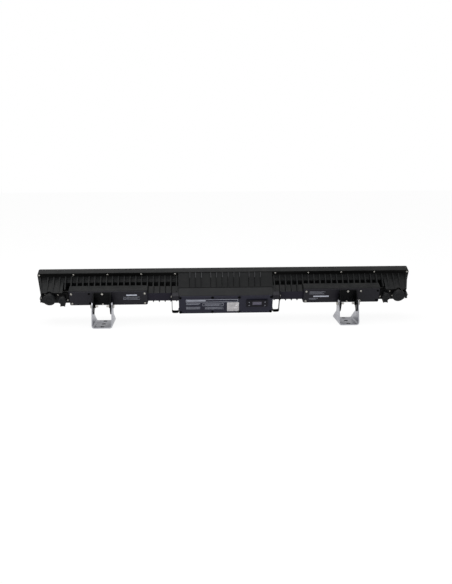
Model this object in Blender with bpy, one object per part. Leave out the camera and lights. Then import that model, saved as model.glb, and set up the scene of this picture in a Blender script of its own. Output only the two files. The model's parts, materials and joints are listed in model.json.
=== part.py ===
"""LED wash bar: a cast bar light that stands on two silver yokes.

Metres, +Z up. The bar runs along X, its light leaves towards +Y and upwards, and its rear,
with the covers, the display and the sockets, faces -Y.

The head is modelled in a frame of its own and then tilted about X. There, a depth is measured
rearwards from the rear face of the front lip, so it is -y, and a height is z. Profiles that run
along the bar are lists of (depth, height), and outlines of plates are lists of (x, height).
The yokes are modelled about their pivots, upright, as they stand.
"""
from math import cos, hypot, pi, radians, sin

import bmesh
import bpy
from mathutils import Vector

# Gap that neighbouring pieces keep, and the play of a screw or pin in its hole
CLEARANCE = 0.0003
SHANK_PLAY = 0.0003

# Front frame and casting lip
BAR_LENGTH = 1.000
FRAME_HEIGHT = 0.090
FRAME_DEPTH = 0.022
FRAME_CORNER = 0.005
FRAME_CHAMFER = 0.0015
FRAME_FACE = 0.012
FRAME_WALL = 0.009
FRAME_FRONT = 0.0025
HEAD_TILT = radians(24.5)
LIP_THICKNESS = 0.0035
FRAME_SCREWS = 12
FRAME_SCREW_INSET = 0.0052

# Trough that the light sources sit in
LIP_BAND = 0.010
COVE_RADIUS = 0.012
COVE_STEPS = 4
BASE_WALL = 0.006
CAVITY_INSET = 0.015
SEAT_NARROWING = 0.010

# Spine behind the air gap, and the fins that carry it
SPINE_FRONT = 0.027
SPINE_REAR = 0.047
SPINE_WALL = 0.003
SPINE_SLOPE = 0.41
SPINE_BOTTOM = -0.014
FIN_THICKNESS = 0.003
FIN_PITCH = 0.0155
FIN_SLOPE = 0.477
FIN_TOP_END = 0.044
FIN_STAND = 0.0028
FIN_SETBACK = 0.0005
FIN_TOOTH = 0.0045
FIN_TOOTH_CHAMFER = 0.0020
FIRST_FIN = 0.00575

# Closed ends with the sockets
BAY_LENGTH = 0.084
END_BLOCK_LENGTH = 0.069
END_CHEEK = 0.0045
END_COVE_RISE = 0.0003
END_INSET = 0.003
END_TAPER = 0.22
BAY_BROW = 0.0445
BAY_BROW_THICKNESS = 0.0025
BAY_PLATE = 0.037
BROW_ARCH_GAP = 0.003
BAY_BOTTOM = -0.025
BAY_TOP = 0.012

# Driver boxes on each side, with their covers
BOX_LENGTH = 0.205
BOX_GAP = 0.003
BOX_FRONT = 0.029
BOX_SHOULDER = 0.045
BOX_REAR = 0.050
BOX_TOP = 0.024
BOX_EDGE = 0.0222
BOX_BOTTOM = -0.0216
BOX_WALL = 0.003
GASKET_THICKNESS = 0.0010
GASKET_WIDTH = 0.0018
COVER_THICKNESS = 0.0026
COVER_CORNER = 0.003
COVER_CHAMFER = 0.0008
COVER_SCREW_INSET = 0.0062
BOSS_RADIUS = 0.0034
COVER_BOLT_X = 0.035
DRIVER_LENGTH = 0.130
DRIVER_HEIGHT = 0.022
DRIVER_DEPTH = 0.012
DRIVER_FOOT = 0.008
DRIVER_FOOT_SHEET = 0.002
DRIVER_TERMINAL = 0.003

# Control box in the middle
CONTROL_WIDTH = 0.2505
CONTROL_FRONT = 0.035
CONTROL_REAR = 0.056
CONTROL_SHOULDER = 0.0179
CONTROL_TOP = 0.0074
CONTROL_BOTTOM = -0.0485
CONTROL_WALL = 0.0025
CONTROL_CHAMFER = 0.005
CABLE_WIDTH = 0.030
CABLE_HEIGHT = 0.012
CENTRE_MARGIN = 0.0010
CENTRE_TOP = 0.043
CENTRE_RIB_WIDTH = 0.0024
CENTRE_RIB_STAND = 0.0012
CENTRE_RIB_GROUP = 0.0794
PLATE_THICKNESS = 0.0020
PLATE_CORNER = 0.004
PLATE_SCREW_INSET = 0.0041
PLATE_SCREW_X = 0.0355

# Display module, buttons and the board behind them
DISPLAY_INSET = 0.04205
DISPLAY_Z = -0.0155
DISPLAY_WIDTH = 0.057
DISPLAY_HEIGHT = 0.022
DISPLAY_THICKNESS = 0.0036
DISPLAY_FACE = 0.0012
DISPLAY_WALL = 0.0020
DISPLAY_CORNER = 0.0015
WINDOW_WIDTH = 0.0245
WINDOW_HEIGHT = 0.0120
WINDOW_LAP = 0.0010
WINDOW_THICKNESS = 0.0010
BUTTON_RADIUS = 0.0026
BUTTON_STAND = 0.0012
BUTTON_FLANGE = 0.0009
BUTTON_STEM = 0.0014
BUTTON_X = 0.0211
BUTTON_Z = 0.0052
BUTTON_TRAVEL = 0.0008
BOARD_THICKNESS = 0.0016
BOARD_STANDOFF = 0.0072
BOARD_LENGTH = 0.096
BOARD_HEIGHT = 0.038
BOARD_POST = 0.003
SUPPLY_LENGTH = 0.108
SUPPLY_HEIGHT = 0.038
SUPPLY_DEPTH = 0.017

# Light sources behind the front glass
LIGHTS = 12
LIGHT_MARGIN = 0.020
LENS_RIM = 0.004
LENS_ROOT = 0.006
LENS_PLATE = 0.0015
HOLDER_WALL = 0.002
GLASS_THICKNESS = 0.004
GLASS_PLAY = 0.0010
LED_WIDTH = 0.0070
LED_HEIGHT = 0.0015

# Loops beside the control box
LUG_WIDTH = 0.0168
LUG_REAR = 0.060
LUG_TOP = 0.012
LUG_TOP_REAR = 0.0100
LUG_BOTTOM = -0.005
STRAP_THICKNESS = 0.0015
STRAP_WIDTH = 0.0105
STRAP_BEND = 0.0048
STRAP_TAB = 0.008
STRAP_RISE = 0.002
STRAP_SCREW_Z = 0.0045

# Black bracket channels on the covers
YOKE_OFFSET = 0.015
CHANNEL_WIDTH = 0.0468
CHANNEL_SHEET = 0.0025
CHANNEL_TOP = 0.0208
CHANNEL_BOTTOM = -0.0190
CHANNEL_SCREW_Z = 0.0162
EAR_REACH = 0.034
EAR_NOSE = -0.002
EAR_TIP = -0.029
EAR_TIP_BACK = 0.008
EAR_CORNER = 0.004

# Silver yokes
PIVOT_DEPTH = 0.073
PIVOT_Z = -0.011
PIVOT_HEIGHT = 0.0545
YOKE_SHEET = 0.0025
YOKE_NEAR = 0.023
YOKE_ARM = 0.040
YOKE_BASE = 0.084
YOKE_BEND = 0.007
YOKE_TOP_RADIUS = 0.0115
YOKE_SHOULDER = -0.007
YOKE_FOOT_EDGE = 0.010
YOKE_FLANGE = 0.0100
YOKE_FLANGE_CORNER = 0.006
YOKE_WAIST = 0.026
YOKE_WAIST_CURVE = 0.006
YOKE_HOLE = 0.0055
YOKE_HOLE_PITCH = 0.032
WASHER_THICKNESS = 0.0005
WASHER_RADIUS = 0.0075

# Pivot bolts and small screws
BOLT_RADIUS = 0.0025
BOLT_HEX = 0.0052
BOLT_HEAD = 0.004
NUT_HEX = 0.0048
NUT_LENGTH = 0.0030
BOLT_END = 0.0075
SCREW_RADIUS = 0.0015
SCREW_HEAD_RADIUS = 0.0031
SCREW_HEAD = 0.0020
SCREW_SIDES = 8
SCREW_BITE = 0.006

# Sockets with their flaps
POWER_X = 0.0345
POWER_Z = -0.0015
POWER_RADIUS = 0.0135
DATA_X = 0.068
DATA_Z = -0.0045
DATA_RADIUS = 0.0078
SOCKET_FLANGE = 0.0022
SOCKET_REAR = 0.051
SOCKET_CORNER = 0.003
FLANGE_HALF_X = 0.0148
FLANGE_HALF_Z = 0.0120
FLANGE_SCREW_INSET = 0.003
POWER_BODY_DEPTH = 0.020
DATA_BODY_DEPTH = 0.029
FLAP_LIP = 0.0030
FLAP_THICKNESS = 0.0072
FLAP_CHAMFER = 0.0016
HINGE_REACH = 0.004
HINGE_RISE = 0.0034
KNUCKLE_RADIUS = 0.0030
KNUCKLE_LENGTH = 0.008
CHEEK_THICKNESS = 0.0018
PIN_RADIUS = 0.0011

# Values that follow from the ones above
HALF = BAR_LENGTH / 2
COVE_TOP = FRAME_HEIGHT / 2 - LIP_BAND
CAVITY_HEIGHT = FRAME_HEIGHT - 2 * CAVITY_INSET
LIGHT_PITCH = (BAR_LENGTH - 2 * LIGHT_MARGIN) / LIGHTS
LENS_RADIUS = CAVITY_HEIGHT / 2 - LENS_RIM
FLOOR_DEPTH = COVE_RADIUS - BASE_WALL
LIP_FRONT = -LIP_THICKNESS
BOX_OUT = HALF - BAY_LENGTH - BOX_GAP
BOX_X = BOX_OUT - BOX_LENGTH / 2
BOX_IN = BOX_OUT - BOX_LENGTH
COVER_SEAT = BOX_REAR + 2 * CLEARANCE + GASKET_THICKNESS
COVER_REAR = COVER_SEAT + COVER_THICKNESS
CONTROL_HALF = CONTROL_WIDTH / 2
DISPLAY_X = CONTROL_HALF - DISPLAY_INSET
PLATE_SEAT = CONTROL_REAR + 2 * CLEARANCE + GASKET_THICKNESS
PLATE_REAR = PLATE_SEAT + PLATE_THICKNESS
DISPLAY_SEAT = PLATE_REAR + CLEARANCE
DISPLAY_REAR = DISPLAY_SEAT + DISPLAY_THICKNESS
YOKE_X = BOX_X + YOKE_OFFSET
CHANNEL_SEAT = COVER_REAR + CLEARANCE
CHANNEL_REAR = CHANNEL_SEAT + CHANNEL_SHEET
YOKE_INNER = CHANNEL_WIDTH / 2 + 2 * CLEARANCE + WASHER_THICKNESS
NUT_START = CHANNEL_WIDTH / 2 - CHANNEL_SHEET - CLEARANCE - NUT_LENGTH
YOKE_OUTER = YOKE_INNER + YOKE_SHEET
GLASS_REAR = -FRAME_DEPTH + FRAME_FRONT + 3 * CLEARANCE + GASKET_THICKNESS + GLASS_THICKNESS
LENS_FRONT = GLASS_REAR + CLEARANCE
HOLDER_FRONT = LENS_FRONT + LENS_PLATE + CLEARANCE
LED_FACE = FLOOR_DEPTH - CLEARANCE - BOARD_THICKNESS - LED_HEIGHT
FRAME_INNER_X = HALF - FRAME_WALL
FRAME_INNER_Z = FRAME_HEIGHT / 2 - FRAME_WALL
FINISHED = []


# Materials, with colours as they are seen

def linear(value):
    """A colour value as it is seen, made linear."""
    return value / 12.92 if value <= 0.04045 else ((value + 0.055) / 1.055) ** 2.4


def material(name, colour, roughness, metallic=0.0):
    """A plain finish from a colour of three values up to 255."""
    finish = bpy.data.materials.new(name)
    finish.use_nodes = True
    shader = finish.node_tree.nodes["Principled BSDF"]
    shader.inputs["Base Color"].default_value = [linear(v / 255) for v in colour] + [1.0]
    shader.inputs["Roughness"].default_value = roughness
    shader.inputs["Metallic"].default_value = metallic
    return finish


# Shapes

def skin(bm, rings, closed=False):
    """Faces between rings of points, capped at both ends unless the rings close."""
    rows = [[bm.verts.new(point) for point in ring] for ring in rings]
    pairs = list(zip(rows, rows[1:]))
    if closed:
        pairs.append((rows[-1], rows[0]))
    for first, second in pairs:
        for i in range(len(first)):
            j = (i + 1) % len(first)
            bm.faces.new((first[i], first[j], second[j], second[i]))
    if not closed:
        bm.faces.new(rows[0])
        bm.faces.new(rows[-1][::-1])


def run_along(bm, profile, x0, x1):
    """A (depth, height) profile run along the bar. An end may be a function of depth."""
    ends = []
    for end in (x0, x1):
        ends.append([(end(d) if callable(end) else end, -d, h) for d, h in profile])
    skin(bm, ends)


def through_depth(bm, outline, depth0, depth1):
    """An (x, height) outline run from one depth to another."""
    skin(bm, [[(x, -depth, h) for x, h in outline] for depth in (depth0, depth1)])


def arc(centre, radius, start, end, steps):
    """Points on an arc, angles in degrees."""
    points = []
    for i in range(steps + 1):
        angle = radians(start + (end - start) * i / steps)
        points.append((centre[0] + radius * cos(angle), centre[1] + radius * sin(angle)))
    return points


def rounded(width, height, radius, centre=(0.0, 0.0), steps=3):
    """A rectangle with round corners."""
    points = []
    for sx, sz, start in ((1, 1, 0), (-1, 1, 90), (-1, -1, 180), (1, -1, 270)):
        corner = (centre[0] + sx * (width / 2 - radius), centre[1] + sz * (height / 2 - radius))
        points += arc(corner, radius, start, start + 90, steps)
    return points


def box(bm, low, high):
    """A box between two corners given as (x, depth, height)."""
    (x0, d0, h0), (x1, d1, h1) = low, high
    through_depth(bm, [(x0, h0), (x1, h0), (x1, h1), (x0, h1)], d0, d1)


def turned(bm, profile, origin, axis, sides, closed=False):
    """A turned shape. The profile is a list of (distance along the axis, radius)."""
    axis = Vector(axis).normalized()
    across = axis.orthogonal().normalized()
    other = axis.cross(across)
    rings = []
    for distance, radius in profile:
        ring = []
        for i in range(sides):
            angle = 2 * pi * i / sides
            ring.append(Vector(origin) + axis * distance
                        + (across * cos(angle) + other * sin(angle)) * radius)
        rings.append(ring)
    skin(bm, rings, closed)


def at(x, depth, height):
    """A point of the head frame."""
    return Vector((x, -depth, height))


REARWARDS = Vector((0, -1, 0))


# Objects

def make(name, bm, finish, smooth=None):
    """A named object from a finished bmesh."""
    bmesh.ops.recalc_face_normals(bm, faces=bm.faces)
    mesh = bpy.data.meshes.new(name)
    bm.to_mesh(mesh)
    bm.free()
    mesh.materials.append(finish)
    obj = bpy.data.objects.new(name, mesh)
    bpy.context.collection.objects.link(obj)
    FINISHED.append((obj, smooth))
    return obj


def combine(obj, bm, operation):
    """Join, cut or intersect an object with the shape in a bmesh."""
    bmesh.ops.recalc_face_normals(bm, faces=bm.faces)
    mesh = bpy.data.meshes.new("tool")
    bm.to_mesh(mesh)
    bm.free()
    tool = bpy.data.objects.new("tool", mesh)
    bpy.context.collection.objects.link(tool)
    modifier = obj.modifiers.new("combine", "BOOLEAN")
    modifier.operation = operation
    modifier.solver = "EXACT"
    modifier.object = tool
    bpy.context.view_layer.update()
    result = bpy.data.meshes.new_from_object(obj.evaluated_get(bpy.context.evaluated_depsgraph_get()))
    obj.modifiers.clear()
    old = obj.data
    obj.data = result
    result.name = obj.name
    bpy.data.meshes.remove(old)
    bpy.data.objects.remove(tool)
    bpy.data.meshes.remove(mesh)


def join(obj, bm):
    combine(obj, bm, "UNION")


def cut(obj, bm):
    combine(obj, bm, "DIFFERENCE")


def carry(obj, parent, origin=(0, 0, 0)):
    """Give an object its origin, in its parent's frame, and its parent."""
    for vertex in obj.data.vertices:
        vertex.co -= Vector(origin)
    obj.location = origin
    obj.parent = parent


def hole(bm, seat, length, direction, radius, sides=SCREW_SIDES, over=0.001):
    """A round cutter that goes into a surface against its direction."""
    turned(bm, [(-length, radius), (over, radius)], seat, direction, sides)


# Places that several pieces share

def frame_screw_places():
    """Seats of the screws that hold the front frame, on the rear face of the lip."""
    reach = HALF - FRAME_SCREW_INSET
    height = FRAME_HEIGHT / 2 - FRAME_SCREW_INSET
    step = 2 * reach / (FRAME_SCREWS - 1)
    return [(-reach + step * i, z) for z in (height, -height) for i in range(FRAME_SCREWS)]


def channel_screw_heights():
    middle = (CHANNEL_TOP + CHANNEL_BOTTOM) / 2
    return (middle + CHANNEL_SCREW_Z, middle - CHANNEL_SCREW_Z)


def light_places():
    return [(i - (LIGHTS - 1) / 2) * LIGHT_PITCH for i in range(LIGHTS)]


def cover_middle():
    return (BOX_EDGE + BOX_BOTTOM) / 2


def cover_screw_places(side):
    """Screws of a driver cover: the inner pair, the pair by the bracket and the outer pair."""
    half_height = (BOX_EDGE - BOX_BOTTOM) / 2
    edge = half_height - COVER_SCREW_INSET
    middle = cover_middle()
    inner = BOX_IN + COVER_SCREW_INSET
    outer = BOX_OUT - COVER_SCREW_INSET
    beside = YOKE_X + COVER_BOLT_X
    return [(side * x, middle + sz * edge) for x in (inner, beside, outer) for sz in (1, -1)]


def plate_screw_places():
    across = CONTROL_HALF - PLATE_SCREW_INSET
    top = CONTROL_TOP - PLATE_SCREW_INSET
    bottom = CONTROL_BOTTOM + PLATE_SCREW_INSET
    return [(x, z) for z in (top, bottom) for x in (-across, -PLATE_SCREW_X, PLATE_SCREW_X, across)]


def button_places():
    return [(DISPLAY_X + sx * BUTTON_X, DISPLAY_Z + sz * BUTTON_Z) for sx in (-1, 1) for sz in (1, -1)]


def end_face(side):
    """Where the tapered end of the casting lies at each depth."""
    return lambda depth: side * (HALF - END_INSET - END_TAPER * max(depth, 0.0))


def fin_line(depth):
    return COVE_TOP - FIN_SLOPE * depth


def spine_line(depth):
    return fin_line(SPINE_FRONT) - FIN_STAND - SPINE_SLOPE * (depth - SPINE_FRONT)


# Casting

def trough_profile():
    """The body behind the lip, with a hollow cove above and below it."""
    inside = LIP_FRONT / 2
    upper = arc((COVE_RADIUS, COVE_TOP), COVE_RADIUS, 180, 270, COVE_STEPS)
    lower = [(depth, -height) for depth, height in reversed(upper)]
    return [(inside, COVE_TOP)] + upper + lower + [(inside, -COVE_TOP)]


def spine_profile():
    """A sloping top wall and an upright rear wall."""
    top_front = spine_line(SPINE_FRONT)
    drop = SPINE_WALL * hypot(1, SPINE_SLOPE)
    inner = SPINE_REAR - SPINE_WALL
    return [(SPINE_FRONT, top_front), (SPINE_REAR, spine_line(SPINE_REAR)), (SPINE_REAR, SPINE_BOTTOM),
            (inner, SPINE_BOTTOM), (inner, spine_line(inner) - drop), (SPINE_FRONT, top_front - drop)]


def block_profile():
    """A closed end: the cove runs on as a slope to a brow over the plate that holds the sockets."""
    inside = LIP_FRONT / 2
    cove = arc((COVE_RADIUS, COVE_TOP), COVE_RADIUS - END_COVE_RISE, 180, 270, COVE_STEPS)
    brow = fin_line(BAY_BROW) - END_COVE_RISE
    under = brow - BAY_BROW_THICKNESS
    plate = [(BAY_BROW, brow), (BAY_BROW, under), (BAY_PLATE, under), (BAY_PLATE, BAY_BOTTOM)]
    return [(inside, COVE_TOP)] + cove + plate + [(inside, -COVE_TOP - FIN_SETBACK / 2)]


def fin_profile(x):
    """A fin from inside the lip to the spine, to the socket plate in a bay, or to the brow."""
    inside = LIP_FRONT / 2
    start = [(inside, fin_line(inside))]
    plate = BAY_PLATE - SPINE_WALL / 2
    if x > block_start():
        brow = BAY_BROW - FIN_SETBACK
        end = [(brow, fin_line(brow)), (brow, fin_line(brow) - BAY_BROW_THICKNESS / 2),
               (plate, fin_line(brow) - BAY_BROW_THICKNESS / 2), (plate, BAY_BOTTOM + FIN_SETBACK)]
    elif x > BOX_OUT:
        end = [(plate, fin_line(plate)), (plate, BAY_BOTTOM + FIN_SETBACK)]
    else:
        rear = SPINE_REAR - FIN_SETBACK
        low = SPINE_BOTTOM - FIN_TOOTH
        inner = SPINE_REAR - SPINE_WALL / 2
        end = [(FIN_TOP_END, fin_line(FIN_TOP_END)), (FIN_TOP_END, spine_line(FIN_TOP_END) - SPINE_WALL / 2),
               (inner, spine_line(inner) - SPINE_WALL), (inner, SPINE_BOTTOM + SPINE_WALL / 2),
               (rear, SPINE_BOTTOM + SPINE_WALL / 2), (rear, low + FIN_TOOTH_CHAMFER),
               (rear - FIN_TOOTH_CHAMFER, low)]
    return start + end + [(inside, -COVE_TOP - FIN_SETBACK)]


def block_start():
    return HALF - END_BLOCK_LENGTH


def fin_places():
    """Fins on the right, from beside the control box to the end of the bar."""
    first = CONTROL_HALF + FIRST_FIN
    last = end_face(1)(BAY_PLATE) - 2 * FIN_THICKNESS
    count = int((last - first) / FIN_PITCH) + 1
    return [first + FIN_PITCH * i for i in range(count)]


def housing(finish):
    """The casting: lip, trough, finned air gap, spine, driver boxes and socket bays."""
    bm = bmesh.new()
    through_depth(bm, rounded(BAR_LENGTH, FRAME_HEIGHT, FRAME_CORNER), LIP_FRONT, 0)
    body = make("housing", bm, finish, 35)

    bm = bmesh.new()
    core = HALF - END_BLOCK_LENGTH / 2
    run_along(bm, trough_profile(), -core, core)
    join(body, bm)

    inside = LIP_FRONT / 2
    plate = [(BAY_PLATE - SPINE_WALL, BAY_TOP), (BAY_PLATE, BAY_TOP), (BAY_PLATE, BAY_BOTTOM),
             (BAY_PLATE - SPINE_WALL, BAY_BOTTOM)]
    bm = bmesh.new()
    for side in (-1, 1):
        inner = side * (CONTROL_HALF + CENTRE_MARGIN / 2)
        run_along(bm, spine_profile(), inner, side * (BOX_IN + BOX_WALL / 2))
        run_along(bm, plate, side * (BOX_OUT - BOX_WALL / 2), side * (block_start() + END_CHEEK))
    join(body, bm)
    bm = bmesh.new()
    for side in (-1, 1):
        run_along(bm, block_profile(), side * block_start(), end_face(side))
    join(body, bm)
    cheek = fin_profile(HALF)
    for side in (-1, 1):
        bm = bmesh.new()
        outer = end_face(side)
        run_along(bm, cheek, lambda depth: outer(depth) - side * END_CHEEK,
                  lambda depth: outer(depth) + side * END_COVE_RISE)
        join(body, bm)

    slope = (CENTRE_TOP - CONTROL_SHOULDER) / CONTROL_FRONT
    centre = [(inside, CENTRE_TOP), (0, CENTRE_TOP), (CONTROL_FRONT, CONTROL_SHOULDER),
              (CONTROL_FRONT, BAY_BOTTOM), (inside, -COVE_TOP + FIN_SETBACK)]
    bm = bmesh.new()
    run_along(bm, centre, -CONTROL_HALF - CENTRE_MARGIN, CONTROL_HALF + CENTRE_MARGIN)
    join(body, bm)

    outer = [(BOX_FRONT, BOX_TOP), (BOX_SHOULDER, BOX_TOP), (BOX_REAR, BOX_EDGE),
             (BOX_REAR, BOX_BOTTOM), (BOX_FRONT, BOX_BOTTOM)]
    bm = bmesh.new()
    for side in (-1, 1):
        run_along(bm, outer, side * BOX_IN, side * BOX_OUT)
    join(body, bm)

    bm = bmesh.new()
    for x in fin_places():
        for side in (-1, 1):
            run_along(bm, fin_profile(x), side * x - FIN_THICKNESS / 2, side * x + FIN_THICKNESS / 2)
    join(body, bm)

    bm = bmesh.new()
    end = CONTROL_FRONT - FIN_SETBACK
    lowest = CENTRE_TOP - slope * end
    rib = [(inside, CENTRE_TOP + CENTRE_RIB_STAND), (0, CENTRE_TOP + CENTRE_RIB_STAND),
           (end, lowest + CENTRE_RIB_STAND), (end, lowest - CENTRE_RIB_STAND),
           (inside, CENTRE_TOP - 2 * CENTRE_RIB_STAND)]
    for middle, count in ((-CENTRE_RIB_GROUP, 3), (0.0, 6), (CENTRE_RIB_GROUP, 3)):
        for i in range(count):
            x = middle + (i - (count - 1) / 2) * FIN_PITCH
            run_along(bm, rib, x - CENTRE_RIB_WIDTH / 2, x + CENTRE_RIB_WIDTH / 2)
    join(body, bm)

    hollow_casting(body)
    return body


def hollow_casting(body):
    """Cut the light trough, the driver boxes, the wiring space and every hole."""
    bm = bmesh.new()
    mouth = rounded(BAR_LENGTH - 2 * CAVITY_INSET, CAVITY_HEIGHT, FRAME_CORNER)
    seat = rounded(BAR_LENGTH - 2 * (CAVITY_INSET + SEAT_NARROWING), CAVITY_HEIGHT - 2 * SEAT_NARROWING,
                   FRAME_CORNER)
    steps = ((mouth, LIP_FRONT - LIP_THICKNESS), (mouth, LIP_FRONT), (seat, FLOOR_DEPTH))
    skin(bm, [[(x, -depth, h) for x, h in ring] for ring, depth in steps])
    cut(body, bm)

    pocket = [(BOX_FRONT + BOX_WALL, BOX_TOP - BOX_WALL), (BOX_SHOULDER, BOX_TOP - BOX_WALL),
              (BOX_REAR, BOX_EDGE - BOX_WALL), (BOX_REAR + BOX_WALL, BOX_EDGE - BOX_WALL),
              (BOX_REAR + BOX_WALL, BOX_BOTTOM + BOX_WALL), (BOX_FRONT + BOX_WALL, BOX_BOTTOM + BOX_WALL)]
    bm = bmesh.new()
    for side in (-1, 1):
        run_along(bm, pocket, side * (BOX_IN + BOX_WALL), side * (BOX_OUT - BOX_WALL))
    cut(body, bm)

    bm = bmesh.new()
    for side in (-1, 1):
        for x, z in cover_screw_places(side):
            depth = BOX_FRONT + BOX_WALL / 2
            turned(bm, [(0, BOSS_RADIUS), (BOX_REAR - CLEARANCE - depth, BOSS_RADIUS)], at(x, depth, z),
                   REARWARDS, SCREW_SIDES)
    join(body, bm)

    bm = bmesh.new()
    space = CONTROL_FRONT - 2 * CONTROL_WALL - COVE_RADIUS
    box(bm, (-CONTROL_HALF + 2 * CONTROL_WALL, CONTROL_FRONT - space, BAY_BOTTOM + 2 * CONTROL_WALL),
        (CONTROL_HALF - 2 * CONTROL_WALL, CONTROL_FRONT + CONTROL_WALL, CONTROL_SHOULDER - 2 * CONTROL_WALL))
    cut(body, bm)

    bm = bmesh.new()
    for side in (-1, 1):
        arch = POWER_RADIUS + BROW_ARCH_GAP
        turned(bm, [(BAY_PLATE + CLEARANCE, arch), (BAY_BROW + 0.001, arch)],
               at(side * (HALF - POWER_X), 0, POWER_Z), REARWARDS, 32)
    cut(body, bm)

    bm = bmesh.new()
    for x, z in frame_screw_places():
        hole(bm, at(x, 0, z), LIP_THICKNESS + 0.001, REARWARDS, SCREW_RADIUS + SHANK_PLAY)
    for side in (-1, 1):
        for x, z in cover_screw_places(side):
            hole(bm, at(x, BOX_REAR, z), SCREW_BITE, REARWARDS, SCREW_RADIUS + SHANK_PLAY)
        for spec in socket_specs(side):
            bore = spec["radius"] - SOCKET_CORNER + SHANK_PLAY
            hole(bm, at(spec["x"], BAY_PLATE, spec["z"]), BAY_PLATE - spec["body"] + CLEARANCE,
                 REARWARDS, bore, 20)
            for x, z in flange_screw_places(spec):
                hole(bm, at(x, BAY_PLATE, z), SPINE_WALL / 2, REARWARDS, SCREW_RADIUS + SHANK_PLAY)
    cut(body, bm)


# Front: frame, seal, glass, lenses and light sources

def front_frame(finish):
    """A frame round the glass, with a return in front and room for the seal behind it."""
    rear = LIP_FRONT - CLEARANCE
    front = -FRAME_DEPTH
    window = (BAR_LENGTH - 2 * FRAME_FACE, FRAME_HEIGHT - 2 * FRAME_FACE)
    room = (2 * FRAME_INNER_X, 2 * FRAME_INNER_Z)
    corner = FRAME_CORNER
    bevel = 2 * FRAME_CHAMFER
    steps = [((BAR_LENGTH, FRAME_HEIGHT, corner), rear),
             ((BAR_LENGTH, FRAME_HEIGHT, corner), front + FRAME_CHAMFER),
             ((BAR_LENGTH - bevel, FRAME_HEIGHT - bevel, corner - FRAME_CHAMFER), front),
             ((window[0], window[1], corner / 2), front),
             ((window[0], window[1], corner / 2), front + FRAME_FRONT),
             ((room[0], room[1], corner / 2), front + FRAME_FRONT),
             ((room[0], room[1], corner / 2), rear)]
    bm = bmesh.new()
    skin(bm, [[(x, -depth, h) for x, h in rounded(*size)] for size, depth in steps], closed=True)
    frame = make("front_frame", bm, finish, 35)
    bm = bmesh.new()
    for x, z in frame_screw_places():
        hole(bm, at(x, rear, z), SCREW_BITE, REARWARDS, SCREW_RADIUS + SHANK_PLAY)
    cut(frame, bm)
    return frame


def ring_plate(name, finish, outer, inner, depth0, depth1, centre=(0.0, 0.0)):
    """A flat ring between two round-cornered outlines, each (width, height, corner)."""
    out = rounded(*outer, centre=centre)
    inn = rounded(*inner, centre=centre)
    order = [(out, depth0), (out, depth1), (inn, depth1), (inn, depth0)]
    bm = bmesh.new()
    skin(bm, [[(x, -depth, h) for x, h in ring] for ring, depth in order], closed=True)
    return make(name, bm, finish)


def glass_size():
    return (2 * (FRAME_INNER_X - GLASS_PLAY), 2 * (FRAME_INNER_Z - GLASS_PLAY))


def front_seal(finish):
    width, height = glass_size()
    front = -FRAME_DEPTH + FRAME_FRONT + CLEARANCE
    lap = 2 * (FRAME_FACE - FRAME_WALL - GLASS_PLAY)
    inner = (width - lap, height - lap, FRAME_CORNER / 2)
    return ring_plate("glass_gasket", finish, (width, height, FRAME_CORNER / 2), inner,
                      front, front + GASKET_THICKNESS)


def front_glass(finish):
    width, height = glass_size()
    bm = bmesh.new()
    through_depth(bm, rounded(width, height, FRAME_CORNER / 2), GLASS_REAR - GLASS_THICKNESS, GLASS_REAR)
    return make("front_glass", bm, finish)


def lens_holder(finish):
    """A tray that stands on the casting's lip and holds each lens by its rim."""
    width, height = glass_size()
    foot = LIP_FRONT - CLEARANCE
    wall = 2 * HOLDER_WALL
    bm = bmesh.new()
    outer = rounded(width, height, FRAME_CORNER / 2)
    inner = rounded(width - wall, height - wall, FRAME_CORNER / 2)
    rings = [(inner, foot), (outer, foot), (outer, HOLDER_FRONT)]
    back = [(inner, foot), (inner, HOLDER_FRONT + HOLDER_WALL)]
    rows = [[bm.verts.new((x, -depth, h)) for x, h in ring] for ring, depth in rings + back[1:]]
    for first, second in ((0, 1), (1, 2), (3, 0)):
        for i in range(len(outer)):
            j = (i + 1) % len(outer)
            bm.faces.new((rows[first][i], rows[first][j], rows[second][j], rows[second][i]))
    bm.faces.new(rows[2])
    bm.faces.new(rows[3])
    tray = make("lens_holder", bm, finish, 35)
    bm = bmesh.new()
    for x in light_places():
        hole(bm, at(x, HOLDER_FRONT, 0), 2 * HOLDER_WALL, -REARWARDS, LENS_RADIUS + SHANK_PLAY, 24)
    cut(tray, bm)
    return tray


def lens_array(finish):
    """One moulding: a thin plate on the holder with a cone over each light source."""
    width, height = glass_size()
    bm = bmesh.new()
    plate_rear = HOLDER_FRONT - CLEARANCE
    inset = 2 * GLASS_PLAY
    through_depth(bm, rounded(width - inset, height - inset, FRAME_CORNER / 2), LENS_FRONT, plate_rear)
    array = make("lens_array", bm, finish, 35)
    root = LED_FACE - CLEARANCE
    profile = [(0, LENS_ROOT), (root - plate_rear, LENS_RADIUS - CLEARANCE),
               (root - plate_rear + LENS_PLATE / 2, LENS_RADIUS - CLEARANCE)]
    bm = bmesh.new()
    for x in light_places():
        turned(bm, profile, at(x, root, 0), -REARWARDS, 16)
    join(array, bm)
    return array


def led_board(finish):
    """The board on the trough's floor, with a light source every pitch."""
    width = BAR_LENGTH - 2 * (CAVITY_INSET + SEAT_NARROWING) - 2 * GLASS_PLAY
    height = CAVITY_HEIGHT - 2 * SEAT_NARROWING - 2 * GLASS_PLAY
    rear = FLOOR_DEPTH - CLEARANCE
    bm = bmesh.new()
    through_depth(bm, rounded(width, height, FRAME_CORNER), rear - BOARD_THICKNESS, rear)
    board = make("led_board", bm, finish)
    half = LED_WIDTH / 2
    bm = bmesh.new()
    for x in light_places():
        box(bm, (x - half, LED_FACE, -half), (x + half, rear - BOARD_THICKNESS / 2, half))
    join(board, bm)
    return board


# Driver boxes

def box_outline(inset):
    """The rear outline of a driver box, about its own middle, as (width, height)."""
    return (BOX_LENGTH - 2 * inset, BOX_EDGE - BOX_BOTTOM - 2 * inset)


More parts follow.
